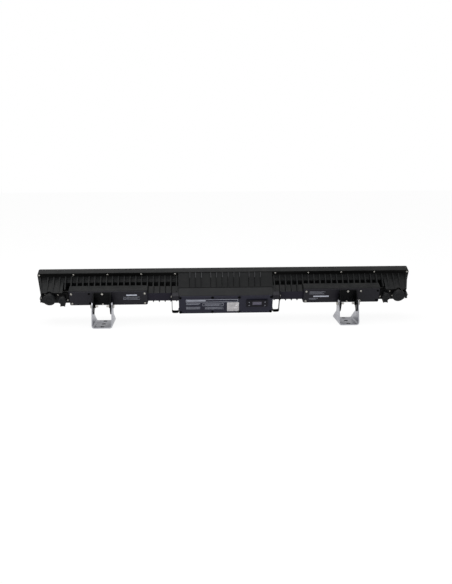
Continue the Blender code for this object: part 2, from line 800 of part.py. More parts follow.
def driver_cover(name, side, finish):
    """A flat cover with a slightly bevelled edge and a hole for every screw."""
    middle = (side * BOX_X, cover_middle())
    width, height = box_outline(CLEARANCE)
    small = 2 * COVER_CHAMFER
    steps = [(rounded(width, height, COVER_CORNER, middle), COVER_SEAT),
             (rounded(width, height, COVER_CORNER, middle), COVER_REAR - COVER_CHAMFER),
             (rounded(width - small, height - small, COVER_CORNER - COVER_CHAMFER, middle), COVER_REAR)]
    bm = bmesh.new()
    skin(bm, [[(x, -depth, h) for x, h in ring] for ring, depth in steps])
    cover = make(name, bm, finish)
    bm = bmesh.new()
    places = cover_screw_places(side) + [(side * YOKE_X, z) for z in channel_screw_heights()]
    for x, z in places:
        hole(bm, at(x, COVER_REAR, z), COVER_THICKNESS + 0.001, REARWARDS, SCREW_RADIUS + SHANK_PLAY)
    cut(cover, bm)
    return cover


def cover_gasket(name, side, finish):
    middle = (side * BOX_X, cover_middle())
    outer = box_outline((BOX_WALL - GASKET_WIDTH) / 2)
    inner = (outer[0] - 2 * GASKET_WIDTH, outer[1] - 2 * GASKET_WIDTH)
    start = BOX_REAR + CLEARANCE
    return ring_plate(name, finish, (*outer, COVER_CORNER), (*inner, COVER_CORNER - GASKET_WIDTH / 2),
                      start, start + GASKET_THICKNESS, middle)


def led_driver(name, side, finish):
    """A driver in its case, seated on the box floor, with feet, terminals and a choke."""
    x = side * (BOX_IN + (BOX_LENGTH - DRIVER_LENGTH) / 2 + DRIVER_LENGTH / 2)
    floor = BOX_FRONT + BOX_WALL + CLEARANCE
    half = DRIVER_LENGTH / 2
    height = DRIVER_HEIGHT / 2
    bm = bmesh.new()
    outline = rounded(DRIVER_LENGTH, DRIVER_HEIGHT, 0.002, (x, 0), 2)
    through_depth(bm, outline, floor, floor + DRIVER_DEPTH)
    case = make(name, bm, finish)
    lap = 0.001
    foot = (half - lap, half + DRIVER_FOOT, 0, DRIVER_FOOT_SHEET)
    top = DRIVER_DEPTH + DRIVER_TERMINAL
    terminal = (half - 2.5 * DRIVER_FOOT, half - 0.8 * DRIVER_FOOT, DRIVER_DEPTH - lap, top)
    for end in (-1, 1):
        for start, stop, low, high in (foot, terminal):
            bm = bmesh.new()
            ends = sorted((x + end * start, x + end * stop))
            box(bm, (ends[0], floor + low, -height * 0.7), (ends[1], floor + high, height * 0.7))
            join(case, bm)
    return case


# Control box

def control_top(depth):
    """The sloping top of the control box."""
    front = CONTROL_FRONT + CLEARANCE
    return CONTROL_SHOULDER - (CONTROL_SHOULDER - CONTROL_TOP) * (depth - front) / (CONTROL_REAR - front)


def control_box(finish):
    """A shell with a sloping top, open to the rear, with a boss for every plate screw."""
    front = CONTROL_FRONT + CLEARANCE
    outer = [(front, control_top(front)), (CONTROL_REAR, CONTROL_TOP), (CONTROL_REAR, CONTROL_BOTTOM),
             (front + CONTROL_CHAMFER, CONTROL_BOTTOM), (front, CONTROL_BOTTOM + CONTROL_CHAMFER)]
    bm = bmesh.new()
    run_along(bm, outer, -CONTROL_HALF, CONTROL_HALF)
    shell = make("control_box", bm, finish, 35)
    wall = CONTROL_WALL
    inner_front = front + wall
    low = CONTROL_BOTTOM + wall
    pocket = [(inner_front, control_top(inner_front) - 1.2 * wall), (CONTROL_REAR, CONTROL_TOP - 1.2 * wall),
              (CONTROL_REAR + wall, CONTROL_TOP - 1.2 * wall), (CONTROL_REAR + wall, low),
              (inner_front + CONTROL_CHAMFER / 2, low), (inner_front, low + CONTROL_CHAMFER / 2)]
    bm = bmesh.new()
    run_along(bm, pocket, -CONTROL_HALF + wall, CONTROL_HALF - wall)
    cut(shell, bm)
    bm = bmesh.new()
    for x, z in plate_screw_places():
        depth = front + CONTROL_CHAMFER
        length = CONTROL_REAR - CLEARANCE - depth
        turned(bm, [(0, BOSS_RADIUS), (length, BOSS_RADIUS)], at(x, depth, z), REARWARDS, SCREW_SIDES)
    join(shell, bm)
    bm = bmesh.new()
    for x, z in plate_screw_places():
        hole(bm, at(x, CONTROL_REAR, z), SCREW_BITE, REARWARDS, SCREW_RADIUS + SHANK_PLAY)
    through_depth(bm, rounded(CABLE_WIDTH, CABLE_HEIGHT, PLATE_CORNER, (0.0, BAY_BOTTOM / 3)),
                  CONTROL_FRONT - 0.001, inner_front + 0.001)
    for side in (-1, 1):
        hole(bm, at(side * CONTROL_HALF, strap_middle(), tab_screw_z()), wall / 2, (side, 0, 0),
             SCREW_RADIUS + SHANK_PLAY)
    cut(shell, bm)
    return shell


def plate_middle():
    return (0.0, (CONTROL_TOP + CONTROL_BOTTOM) / 2)


def control_gasket(finish):
    outer = (CONTROL_WIDTH - CLEARANCE, CONTROL_TOP - CONTROL_BOTTOM - CLEARANCE, PLATE_CORNER)
    inner = (outer[0] - 2 * GASKET_WIDTH, outer[1] - 2 * GASKET_WIDTH, PLATE_CORNER - GASKET_WIDTH)
    start = CONTROL_REAR + CLEARANCE
    return ring_plate("control_gasket", finish, outer, inner, start, start + GASKET_THICKNESS, plate_middle())


def control_plate(finish):
    """The rear plate, with screw holes, holes for the button stems and the display cut-out."""
    bm = bmesh.new()
    outline = rounded(CONTROL_WIDTH, CONTROL_TOP - CONTROL_BOTTOM, PLATE_CORNER, plate_middle())
    through_depth(bm, outline, PLATE_SEAT, PLATE_REAR)
    plate = make("control_plate", bm, finish, 35)
    bm = bmesh.new()
    depth = PLATE_THICKNESS + 0.001
    for x, z in plate_screw_places():
        hole(bm, at(x, PLATE_REAR, z), depth, REARWARDS, SCREW_RADIUS + SHANK_PLAY)
    for x, z in button_places():
        hole(bm, at(x, PLATE_REAR, z), depth, REARWARDS, BUTTON_STEM + SHANK_PLAY)
    opening = rounded(WINDOW_WIDTH, WINDOW_HEIGHT, DISPLAY_CORNER / 2, (DISPLAY_X, DISPLAY_Z))
    through_depth(bm, opening, PLATE_SEAT - 0.001, PLATE_REAR + 0.001)
    cut(plate, bm)
    return plate


# Display module

def display_bezel(finish):
    """A raised frame with a window, four button holes and a pocket behind."""
    middle = (DISPLAY_X, DISPLAY_Z)
    small = 2 * FLAP_CHAMFER / 2
    steps = [(rounded(DISPLAY_WIDTH, DISPLAY_HEIGHT, DISPLAY_CORNER, middle), DISPLAY_SEAT),
             (rounded(DISPLAY_WIDTH, DISPLAY_HEIGHT, DISPLAY_CORNER, middle), DISPLAY_REAR - small / 2),
             (rounded(DISPLAY_WIDTH - small, DISPLAY_HEIGHT - small, DISPLAY_CORNER, middle), DISPLAY_REAR)]
    bm = bmesh.new()
    skin(bm, [[(x, -depth, h) for x, h in ring] for ring, depth in steps])
    bezel = make("display_bezel", bm, finish, 35)
    bm = bmesh.new()
    inner = rounded(DISPLAY_WIDTH - 2 * DISPLAY_WALL, DISPLAY_HEIGHT - 2 * DISPLAY_WALL,
                    DISPLAY_CORNER / 2, middle)
    through_depth(bm, inner, DISPLAY_SEAT - 0.001, DISPLAY_REAR - DISPLAY_FACE)
    cut(bezel, bm)
    bm = bmesh.new()
    opening = rounded(WINDOW_WIDTH, WINDOW_HEIGHT, DISPLAY_CORNER / 2, middle)
    through_depth(bm, opening, DISPLAY_SEAT, DISPLAY_REAR + 0.001)
    for x, z in button_places():
        hole(bm, at(x, DISPLAY_REAR, z), DISPLAY_THICKNESS - 0.001, REARWARDS, BUTTON_RADIUS + SHANK_PLAY, 12)
    cut(bezel, bm)
    return bezel


def display_window(finish):
    """A clear plate behind the opening, which it laps all round."""
    rear = DISPLAY_REAR - DISPLAY_FACE - CLEARANCE
    outline = rounded(WINDOW_WIDTH + 2 * WINDOW_LAP, WINDOW_HEIGHT + 2 * WINDOW_LAP, DISPLAY_CORNER / 2,
                      (DISPLAY_X, DISPLAY_Z))
    bm = bmesh.new()
    through_depth(bm, outline, rear - WINDOW_THICKNESS, rear)
    return make("display_window", bm, finish)


def button_back():
    """Depth of the rear side of a button's flange when it is pressed in."""
    return DISPLAY_REAR - DISPLAY_FACE - CLEARANCE


def stem_end():
    return PLATE_SEAT - CLEARANCE - BUTTON_TRAVEL


def menu_button(name, place, finish):
    """A round button with a flange behind the bezel and a stem through the plate."""
    x, z = place
    flange = button_back()
    cap = BUTTON_RADIUS
    profile = [(stem_end(), BUTTON_STEM), (flange - BUTTON_FLANGE, BUTTON_STEM),
               (flange - BUTTON_FLANGE, cap + BUTTON_FLANGE), (flange, cap + BUTTON_FLANGE), (flange, cap),
               (DISPLAY_REAR + BUTTON_STAND * 0.6, cap), (DISPLAY_REAR + BUTTON_STAND, cap * 0.7)]
    bm = bmesh.new()
    turned(bm, profile, at(x, 0, z), REARWARDS, 12)
    return make(name, bm, finish, 35)


def control_board(finish):
    """The board on posts behind the plate, with the display glass and a switch for each button."""
    front = PLATE_SEAT - BOARD_STANDOFF - BOARD_THICKNESS
    face = PLATE_SEAT - BOARD_STANDOFF
    half_x, half_z = BOARD_LENGTH / 2, BOARD_HEIGHT / 2
    middle_x = CONTROL_HALF - 2 * PLATE_SCREW_INSET - half_x
    middle_z = plate_middle()[1]
    bm = bmesh.new()
    box(bm, (middle_x - half_x, front, middle_z - half_z), (middle_x + half_x, face, middle_z + half_z))
    board = make("control_board", bm, finish)
    sunk = BOARD_THICKNESS / 2
    bm = bmesh.new()
    post = BOARD_POST
    leg = 0.8 * post
    for sx in (-1, 1):
        for sz in (-1, 1):
            x = middle_x + sx * (half_x - post)
            z = middle_z + sz * (half_z - post)
            length = sunk + BOARD_STANDOFF - CLEARANCE
            turned(bm, [(0, leg), (length, leg)], at(x, face - sunk, z), REARWARDS, SCREW_SIDES)
    for x, z in button_places():
        top = stem_end() - BUTTON_TRAVEL - 2 * CLEARANCE
        box(bm, (x - post, face - sunk, z - leg), (x + post, top, z + leg))
    half_x = WINDOW_WIDTH / 2 + post
    half_z = WINDOW_HEIGHT / 2 + post / 2
    box(bm, (DISPLAY_X - half_x, face - sunk, DISPLAY_Z - half_z),
        (DISPLAY_X + half_x, PLATE_SEAT - CLEARANCE, DISPLAY_Z + half_z))
    join(board, bm)
    return board


def power_supply(finish):
    """The supply in its case, seated on the front wall of the control box."""
    floor = CONTROL_FRONT + 2 * CLEARANCE + CONTROL_WALL
    middle = (-CONTROL_HALF + 2 * PLATE_SCREW_INSET + SUPPLY_LENGTH / 2, plate_middle()[1])
    bm = bmesh.new()
    through_depth(bm, rounded(SUPPLY_LENGTH, SUPPLY_HEIGHT, 0.0015, middle, 2), floor, floor + SUPPLY_DEPTH)
    supply = make("power_supply", bm, finish)
    bm = bmesh.new()
    slots = 9
    for i in range(slots):
        x = middle[0] + (i - (slots - 1) / 2) * 0.009
        box(bm, (x - 0.0015, floor + SUPPLY_DEPTH - 0.0015, middle[1] - SUPPLY_HEIGHT * 0.35),
            (x + 0.0015, floor + SUPPLY_DEPTH + 0.001, middle[1] + SUPPLY_HEIGHT * 0.35))
    cut(supply, bm)
    return supply


# Loops beside the control box

def strap_middle():
    return LUG_REAR - STRAP_WIDTH / 2


def strap_outer():
    return CONTROL_HALF + CLEARANCE + LUG_WIDTH + CLEARANCE + STRAP_THICKNESS


def tab_screw_z():
    return CONTROL_BOTTOM + STRAP_RISE + STRAP_THICKNESS + STRAP_TAB / 2


def loop_lug(name, side, finish):
    """A block on the spine that carries the top of a loop."""
    start = SPINE_REAR + CLEARANCE
    profile = [(start, LUG_TOP), (LUG_REAR, LUG_TOP_REAR), (LUG_REAR, LUG_BOTTOM), (start, LUG_BOTTOM)]
    inner = CONTROL_HALF + CLEARANCE
    bm = bmesh.new()
    run_along(bm, profile, side * inner, side * (inner + LUG_WIDTH))
    lug = make(name, bm, finish)
    bm = bmesh.new()
    hole(bm, at(side * (inner + LUG_WIDTH), strap_middle(), STRAP_SCREW_Z), SCREW_BITE, (side, 0, 0),
         SCREW_RADIUS + SHANK_PLAY)
    cut(lug, bm)
    return lug


def strap_path(offset):
    """Half of a bent strip in x and height: down, inwards and up again beside the box."""
    outer = strap_outer() - offset
    inner = CONTROL_HALF + CLEARANCE + offset
    bottom = CONTROL_BOTTOM + STRAP_RISE + offset
    bend = STRAP_BEND - offset
    points = [(outer, LUG_TOP_REAR)]
    points += arc((outer - bend, bottom + bend), bend, 0, -90, 3)
    points += arc((inner + bend, bottom + bend), bend, -90, -180, 3)
    points.append((inner, CONTROL_BOTTOM + STRAP_RISE + STRAP_THICKNESS + STRAP_TAB))
    return points


def side_loop(name, side, finish):
    """A bent strip that makes a closed loop with the lug and the control box."""
    outline = strap_path(0.0) + strap_path(STRAP_THICKNESS)[::-1]
    bm = bmesh.new()
    outline = [(side * x, z) for x, z in outline]
    through_depth(bm, outline, strap_middle() - STRAP_WIDTH / 2, strap_middle() + STRAP_WIDTH / 2)
    strap = make(name, bm, finish, 35)
    bm = bmesh.new()
    hole(bm, at(side * strap_outer(), strap_middle(), STRAP_SCREW_Z), 2 * STRAP_THICKNESS, (side, 0, 0),
         SCREW_RADIUS + SHANK_PLAY)
    hole(bm, at(side * (CONTROL_HALF + CLEARANCE + STRAP_THICKNESS), strap_middle(), tab_screw_z()),
         2 * STRAP_THICKNESS, (side, 0, 0), SCREW_RADIUS + SHANK_PLAY)
    cut(strap, bm)
    return strap


# Bracket channels on the driver covers

def ear_outline():
    """An ear of a channel as (depth, height): it widens downwards to the pivot."""
    nose = CHANNEL_REAR + EAR_REACH
    heel = nose - EAR_TIP_BACK - 3 * EAR_CORNER
    return [(CHANNEL_SEAT, CHANNEL_TOP), (CHANNEL_REAR + CHANNEL_SHEET, CHANNEL_TOP),
            (nose - EAR_CORNER, EAR_NOSE + EAR_CORNER), (nose - EAR_CORNER / 4, EAR_NOSE),
            (nose, EAR_NOSE - EAR_CORNER), (nose - EAR_CORNER / 4, EAR_TIP + 2 * EAR_CORNER),
            (nose - EAR_CORNER, EAR_TIP + EAR_CORNER / 2), (nose - EAR_TIP_BACK, EAR_TIP),
            (heel, CHANNEL_BOTTOM - EAR_CORNER), (CHANNEL_SEAT, CHANNEL_BOTTOM)]


def bracket_channel(name, side, finish):
    """A folded channel: a base on the cover and an ear on each side of it."""
    middle = side * YOKE_X
    half = CHANNEL_WIDTH / 2
    bm = bmesh.new()
    run_along(bm, ear_outline(), middle - half, middle + half)
    channel = make(name, bm, finish, 35)
    bm = bmesh.new()
    inner = half - CHANNEL_SHEET
    far = CHANNEL_REAR + 2 * EAR_REACH
    box(bm, (middle - inner, CHANNEL_REAR, 2 * EAR_TIP), (middle + inner, far, 2 * CHANNEL_TOP))
    cut(channel, bm)
    bm = bmesh.new()
    box(bm, (middle - inner, CHANNEL_SEAT - 0.001, 2 * EAR_TIP), (middle + inner, far, CHANNEL_BOTTOM))
    cut(channel, bm)
    bm = bmesh.new()
    for z in channel_screw_heights():
        hole(bm, at(middle, CHANNEL_REAR, z), 2 * CHANNEL_SHEET, REARWARDS, SCREW_RADIUS + SHANK_PLAY)
    hole(bm, at(middle + half, PIVOT_DEPTH, PIVOT_Z), CHANNEL_WIDTH + 0.001, (1, 0, 0),
         BOLT_RADIUS + SHANK_PLAY, 12)
    cut(channel, bm)
    return channel


def channel_screw(name, place, finish):
    x, z = place
    bm = bmesh.new()
    profile = [(-COVER_THICKNESS - CHANNEL_SHEET, SCREW_RADIUS), (CLEARANCE, SCREW_RADIUS),
               (CLEARANCE, SCREW_HEAD_RADIUS), (CLEARANCE + SCREW_HEAD * 0.6, SCREW_HEAD_RADIUS),
               (CLEARANCE + SCREW_HEAD, SCREW_HEAD_RADIUS * 0.6)]
    turned(bm, profile, at(x, CHANNEL_REAR, z), REARWARDS, 12)
    return make(name, bm, finish, 35)


def pivot_seat(side, inner, distance):
    """A point on a pivot, at a distance from the middle of the left or right yoke."""
    return at(side * YOKE_X + inner * distance, PIVOT_DEPTH, PIVOT_Z)


def pivot_bolt(name, side, inner, finish):
    """A hexagon bolt through the arm, the washer and the ear, with its end beyond the nut."""
    length = YOKE_OUTER - CHANNEL_WIDTH / 2 + CHANNEL_SHEET + NUT_LENGTH + BOLT_END
    seat = pivot_seat(side, inner, YOKE_OUTER + CLEARANCE)
    bm = bmesh.new()
    turned(bm, [(0, BOLT_HEX), (BOLT_HEAD * 0.8, BOLT_HEX), (BOLT_HEAD, BOLT_HEX * 0.8)],
           seat, (inner, 0, 0), 6)
    bolt = make(name, bm, finish, 35)
    bm = bmesh.new()
    turned(bm, [(-length, BOLT_RADIUS), (BOLT_HEAD / 2, BOLT_RADIUS)], seat, (inner, 0, 0), 12)
    join(bolt, bm)
    return bolt


def pivot_ring(name, side, inner, finish, outer, sides, start, thickness):
    """A washer or a nut on a pivot bolt, from a distance off the yoke's middle."""
    seat = pivot_seat(side, inner, start)
    bm = bmesh.new()
    turned(bm, [(0, outer), (thickness, outer)], seat, (inner, 0, 0), sides)
    ring = make(name, bm, finish, 35)
    bm = bmesh.new()
    hole(bm, seat, 2 * thickness, (-inner, 0, 0), BOLT_RADIUS + SHANK_PLAY, 12)
    cut(ring, bm)
    return ring


# Yokes, modelled about the pivot

def yoke_section():
    """The folded strip seen from the front: base, bends and arms, as (x, z)."""
    bottom = -PIVOT_HEIGHT
    top = YOKE_TOP_RADIUS + 0.001
    points = [(YOKE_OUTER, top)]
    points += arc((YOKE_OUTER - YOKE_BEND, bottom + YOKE_BEND), YOKE_BEND, 0, -90, 4)
    points += arc((-YOKE_OUTER + YOKE_BEND, bottom + YOKE_BEND), YOKE_BEND, -90, -180, 4)
    points += [(-YOKE_OUTER, top), (-YOKE_INNER, top)]
    inner = YOKE_BEND - YOKE_SHEET
    points += arc((-YOKE_OUTER + YOKE_BEND, bottom + YOKE_BEND), inner, 180, 270, 4)
    points += arc((YOKE_OUTER - YOKE_BEND, bottom + YOKE_BEND), inner, -90, 0, 4)
    points.append((YOKE_INNER, top))
    return points


def yoke_side():
    """The strip seen from the side: a round head, an arm that widens and a deep foot, as (y, z)."""
    bottom = -PIVOT_HEIGHT - 0.001
    near = -YOKE_NEAR
    back = near + YOKE_ARM
    far = near + YOKE_BASE
    corner = YOKE_FLANGE_CORNER
    flange = -PIVOT_HEIGHT + YOKE_FLANGE
    waist = -YOKE_WAIST
    points = [(near, bottom), (far, bottom), (far, flange - corner)]
    points += [(far - corner * 0.3, flange - corner * 0.3), (far - corner, flange)]
    curve = YOKE_WAIST_CURVE
    points += [(back + curve, waist), (back + curve / 4, waist + 0.4 * curve), (back, waist + 1.2 * curve)]
    points.append((back, YOKE_SHOULDER))
    points += arc((0, 0), YOKE_TOP_RADIUS, 20, 190, 9)
    points.append((near, -PIVOT_HEIGHT + YOKE_FOOT_EDGE))
    return points


def yoke(name, pivot, finish):
    """A folded strip yoke with pivot holes and three fixing holes in its foot."""
    near = -YOKE_NEAR
    far = near + YOKE_BASE
    bm = bmesh.new()
    skin(bm, [[(x, y, z) for x, z in yoke_section()] for y in (near - 0.001, far + 0.001)])
    strip = make(name, bm, finish, 35)
    bm = bmesh.new()
    across = YOKE_OUTER + 0.001
    skin(bm, [[(x, y, z) for y, z in yoke_side()] for x in (-across, across)])
    combine(strip, bm, "INTERSECT")
    bm = bmesh.new()
    bore = BOLT_RADIUS + SHANK_PLAY
    turned(bm, [(-across, bore), (across, bore)], (0, 0, 0), (1, 0, 0), 12)
    middle = (near + far) / 2 - 0.0015
    for step in (-1, 0, 1):
        turned(bm, [(-0.001, YOKE_HOLE), (YOKE_SHEET + 0.001, YOKE_HOLE)],
               (0, middle + step * YOKE_HOLE_PITCH, -PIVOT_HEIGHT), (0, 0, 1), 16)
    cut(strip, bm)
    strip.parent = pivot
    return strip


# Sockets and flaps at the ends

def socket_specs(side):
    """The power and the data socket of one end, with the way in which each flap's hinge lies."""
    return [{"kind": "power", "x": side * (HALF - POWER_X), "z": POWER_Z, "radius": POWER_RADIUS,
             "body": POWER_BODY_DEPTH, "out": (side, 0), "pin": (0, 1)},
            {"kind": "data", "x": side * (HALF - DATA_X), "z": DATA_Z, "radius": DATA_RADIUS,
             "body": DATA_BODY_DEPTH, "out": (0, -1), "pin": (1, 0)}]


def flange_screw_places(spec):
    """Two screws on a diagonal of the flange."""
    dx, dz = FLANGE_HALF_X - FLANGE_SCREW_INSET, FLANGE_HALF_Z - FLANGE_SCREW_INSET
    side = 1 if spec["x"] > 0 else -1
    return [(spec["x"] + side * dx, spec["z"] + dz), (spec["x"] - side * dx, spec["z"] - dz)]


def hinge_distance(spec):
    return spec["radius"] + FLAP_LIP + HINGE_REACH


def hinge_depth():
    return SOCKET_REAR + CLEARANCE + HINGE_RISE


def placed(spec, out, pin, depth):
    """A point at a distance outwards and along the pin from a socket's middle."""
    (ox, oz), (px, pz) = spec["out"], spec["pin"]
    return at(spec["x"] + ox * out + px * pin, depth, spec["z"] + oz * out + pz * pin)


def slab(bm, spec, out, pin, depth):
    """A box with its sides along a socket's outward direction, its pin and the depth."""
    corners = ((out[0], pin[0]), (out[1], pin[0]), (out[1], pin[1]), (out[0], pin[1]))
    skin(bm, [[placed(spec, o, p, d) for o, p in corners] for d in depth])


def socket(name, spec, finish):
    """A flanged socket with a round shell, and two cheeks that hold the flap's pin."""
    start = BAY_PLATE + CLEARANCE
    outline = rounded(2 * FLANGE_HALF_X, 2 * FLANGE_HALF_Z, SOCKET_CORNER, (spec["x"], spec["z"]))
    bm = bmesh.new()
    through_depth(bm, outline, start, start + SOCKET_FLANGE)
    body = make(name, bm, finish, 35)
    bm = bmesh.new()
    inner = spec["radius"] - SOCKET_CORNER
    profile = [(spec["body"] + CLEARANCE, inner), (start + SOCKET_FLANGE / 2, inner),
               (start + SOCKET_FLANGE / 2, spec["radius"]), (SOCKET_REAR, spec["radius"])]
    turned(bm, profile, at(spec["x"], 0, spec["z"]), REARWARDS, 20)
    join(body, bm)
    reach = hinge_distance(spec)
    near = KNUCKLE_LENGTH / 2 + CLEARANCE
    far = near + CHEEK_THICKNESS
    top = hinge_depth() + KNUCKLE_RADIUS
    bm = bmesh.new()
    inner = spec["radius"] - 0.004
    slab(bm, spec, (inner, reach + KNUCKLE_RADIUS), (-far, far), (start, start + SOCKET_FLANGE))
    join(body, bm)
    bm = bmesh.new()
    for low, high in ((-far, -near), (near, far)):
        slab(bm, spec, (reach - KNUCKLE_RADIUS, reach + KNUCKLE_RADIUS), (low, high),
             (start + SOCKET_FLANGE / 2, top))
    join(body, bm)
    bm = bmesh.new()
    px, pz = spec["pin"]
    bore = PIN_RADIUS + SHANK_PLAY
    middle = placed(spec, reach, 0, hinge_depth())
    turned(bm, [(-far - 0.001, bore), (far + 0.001, bore)], middle, (px, 0, pz), 10)
    for x, z in flange_screw_places(spec):
        hole(bm, at(x, start + SOCKET_FLANGE, z), 2 * SOCKET_FLANGE, REARWARDS, SCREW_RADIUS + SHANK_PLAY)
    cut(body, bm)
    return body


def flap(name, spec, finish):
    """A round flap over the socket, with an arm and a knuckle on the pin."""
    start = SOCKET_REAR + CLEARANCE
    rim = spec["radius"] + FLAP_LIP
    end = start + FLAP_THICKNESS
    bm = bmesh.new()
    profile = [(start, rim), (end - FLAP_CHAMFER, rim), (end, rim - FLAP_CHAMFER)]
    turned(bm, profile, at(spec["x"], 0, spec["z"]), REARWARDS, 24)
    cover = make(name, bm, finish, 35)
    reach = hinge_distance(spec)
    width = KNUCKLE_LENGTH / 2
    px, pz = spec["pin"]
    bm = bmesh.new()
    slab(bm, spec, (rim - 0.004, reach), (-width, width),
         (hinge_depth() - KNUCKLE_RADIUS * 0.7, hinge_depth() + KNUCKLE_RADIUS * 0.7))
    join(cover, bm)
    bm = bmesh.new()
    turned(bm, [(-width, KNUCKLE_RADIUS), (width, KNUCKLE_RADIUS)], placed(spec, reach, 0, hinge_depth()),
           (px, 0, pz), 12)
    join(cover, bm)
    bm = bmesh.new()
    bore = PIN_RADIUS + SHANK_PLAY
    middle = placed(spec, reach, 0, hinge_depth())
    turned(bm, [(-2 * width, bore), (2 * width, bore)], middle, (px, 0, pz), 10)
    cut(cover, bm)
    return cover


def flap_pin(name, spec, finish):
    """The pin through both cheeks and the knuckle."""
    length = KNUCKLE_LENGTH / 2 + CLEARANCE + CHEEK_THICKNESS
    px, pz = spec["pin"]
    bm = bmesh.new()
    turned(bm, [(-length, PIN_RADIUS), (length, PIN_RADIUS)],
           placed(spec, hinge_distance(spec), 0, hinge_depth()), (px, 0, pz), 10)
    return make(name, bm, finish, 35)


# Assembly

def empty(name, location, parent, rotation=(0, 0, 0)):
    obj = bpy.data.objects.new(name, None)
    bpy.context.collection.objects.link(obj)
    obj.location = location
    obj.rotation_euler = rotation
    obj.parent = parent
    return obj


def finishes():
    return {"casting": material("cast_black_paint", (50, 50, 53), 0.55),
            "frame": material("frame_black_paint", (56, 56, 57), 0.5),
            "cover": material("cover_black_paint", (44, 43, 50), 0.5),
            "plate": material("plate_black_paint", (47, 47, 58), 0.5),
            "bracket": material("bracket_black", (14, 15, 16), 0.45),
            "silver": material("yoke_silver", (152, 153, 159), 0.35, 0.8),
            "bright": material("bright_steel", (190, 190, 192), 0.3, 1.0),
            "plastic": material("socket_plastic", (40, 40, 43), 0.5),
            "rubber": material("seal_rubber", (22, 22, 22), 0.8),
            "glass": material("front_glass", (200, 205, 205), 0.05),
            "lens": material("clear_lens", (225, 228, 230), 0.1),
            "holder": material("holder_black", (18, 18, 19), 0.6),
            "board": material("white_board", (215, 216, 214), 0.6),
            "green": material("board_green", (24, 74, 48), 0.5),
            "case": material("zinc_case", (160, 162, 165), 0.4, 0.9),
            "window": material("display_window", (70, 64, 84), 0.15),
            "button": material("button_grey", (150, 150, 158), 0.5)}


def build():
    for obj in list(bpy.data.objects):
        bpy.data.objects.remove(obj)
    paint = finishes()
    ground = empty("ground", (0, 0, 0), None)
    head = empty("head", (0, 0, 0), ground, (HEAD_TILT, 0, 0))

    fixed = [housing(paint["casting"]), front_frame(paint["frame"]), front_seal(paint["rubber"]),
             front_glass(paint["glass"]), lens_holder(paint["holder"]), lens_array(paint["lens"]),
             led_board(paint["board"]), control_box(paint["casting"]), control_gasket(paint["rubber"]),
             control_plate(paint["plate"]), display_bezel(paint["plate"]), display_window(paint["window"]),
             control_board(paint["green"]), power_supply(paint["case"])]
    for side, word in ((-1, "left"), (1, "right")):
        fixed.append(driver_cover(word + "_driver_cover", side, paint["cover"]))
        fixed.append(cover_gasket(word + "_cover_gasket", side, paint["rubber"]))
        fixed.append(led_driver(word + "_led_driver", side, paint["case"]))
        fixed.append(loop_lug(word + "_loop_lug", side, paint["cover"]))
        fixed.append(side_loop(word + "_side_loop", side, paint["bright"]))
        fixed.append(bracket_channel(word + "_bracket_channel", side, paint["bracket"]))
        for level, z in zip(("upper", "lower"), channel_screw_heights()):
            name = "%s_channel_screw_%s" % (word, level)
            fixed.append(channel_screw(name, (side * YOKE_X, z), paint["bright"]))
        for inner, place in ((-side, "inner"), (side, "outer")):
            fixed.append(pivot_bolt("%s_pivot_bolt_%s" % (word, place), side, inner, paint["bright"]))
            fixed.append(pivot_ring("%s_pivot_washer_%s" % (word, place), side, inner, paint["rubber"],
                                    WASHER_RADIUS, 16, CHANNEL_WIDTH / 2 + CLEARANCE, WASHER_THICKNESS))
            nut = "%s_pivot_nut_%s" % (word, place)
            fixed.append(pivot_ring(nut, side, inner, paint["bracket"], NUT_HEX, 6, NUT_START, NUT_LENGTH))
        for spec in socket_specs(side):
            label = "%s_%s" % (word, spec["kind"])
            fixed.append(socket(label + "_socket", spec, paint["plastic"]))
            fixed.append(flap_pin(label + "_flap_pin", spec, paint["bright"]))
            cover = flap(label + "_flap", spec, paint["plastic"])
            carry(cover, head, placed(spec, hinge_distance(spec), 0, hinge_depth()))
    for number, place in enumerate(button_places(), 1):
        button = menu_button("menu_button_%d" % number, place, paint["button"])
        carry(button, head, at(place[0], DISPLAY_REAR, place[1]))
    for obj in fixed:
        carry(obj, head)

    bpy.context.view_layer.update()
    for side, word in ((-1, "left"), (1, "right")):
        spot = head.matrix_world @ at(side * YOKE_X, PIVOT_DEPTH, PIVOT_Z)
        pivot = empty(word + "_pivot", spot, ground)
        yoke(word + "_yoke", pivot, paint["silver"])
    for obj, angle in FINISHED:
        if angle:
            obj.data.shade_smooth()
            obj.data.set_sharp_from_angle(angle=radians(angle))
    stand(ground)


def stand(ground):
    """Move everything so that the middle of the whole box's bottom is the origin."""
    bpy.context.view_layer.update()
    points = [obj.matrix_world @ vertex.co for obj, _ in FINISHED for vertex in obj.data.vertices]
    low = [min(point[axis] for point in points) for axis in range(3)]
    high = [max(point[axis] for point in points) for axis in range(3)]
    ground.location = (-(low[0] + high[0]) / 2, -(low[1] + high[1]) / 2, -low[2])
    bpy.context.view_layer.update()


build()
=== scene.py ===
"""LED wash bar: the finish of every surface, the small screws, blank prints and light sources.

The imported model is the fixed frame. Metres throughout, in the frame's own axes: +X along the bar,
+Z up, and the light leaves towards +Y and upwards. Places on the tilted head are given as
(x, depth, height), with the depth measured rearwards from the rear face of the casting's lip.
"""
import json
from collections import namedtuple
from functools import lru_cache
from math import cos, pi, radians, sin

import bmesh
import bpy
from mathutils import Matrix, Vector
from mathutils.bvhtree import BVHTree

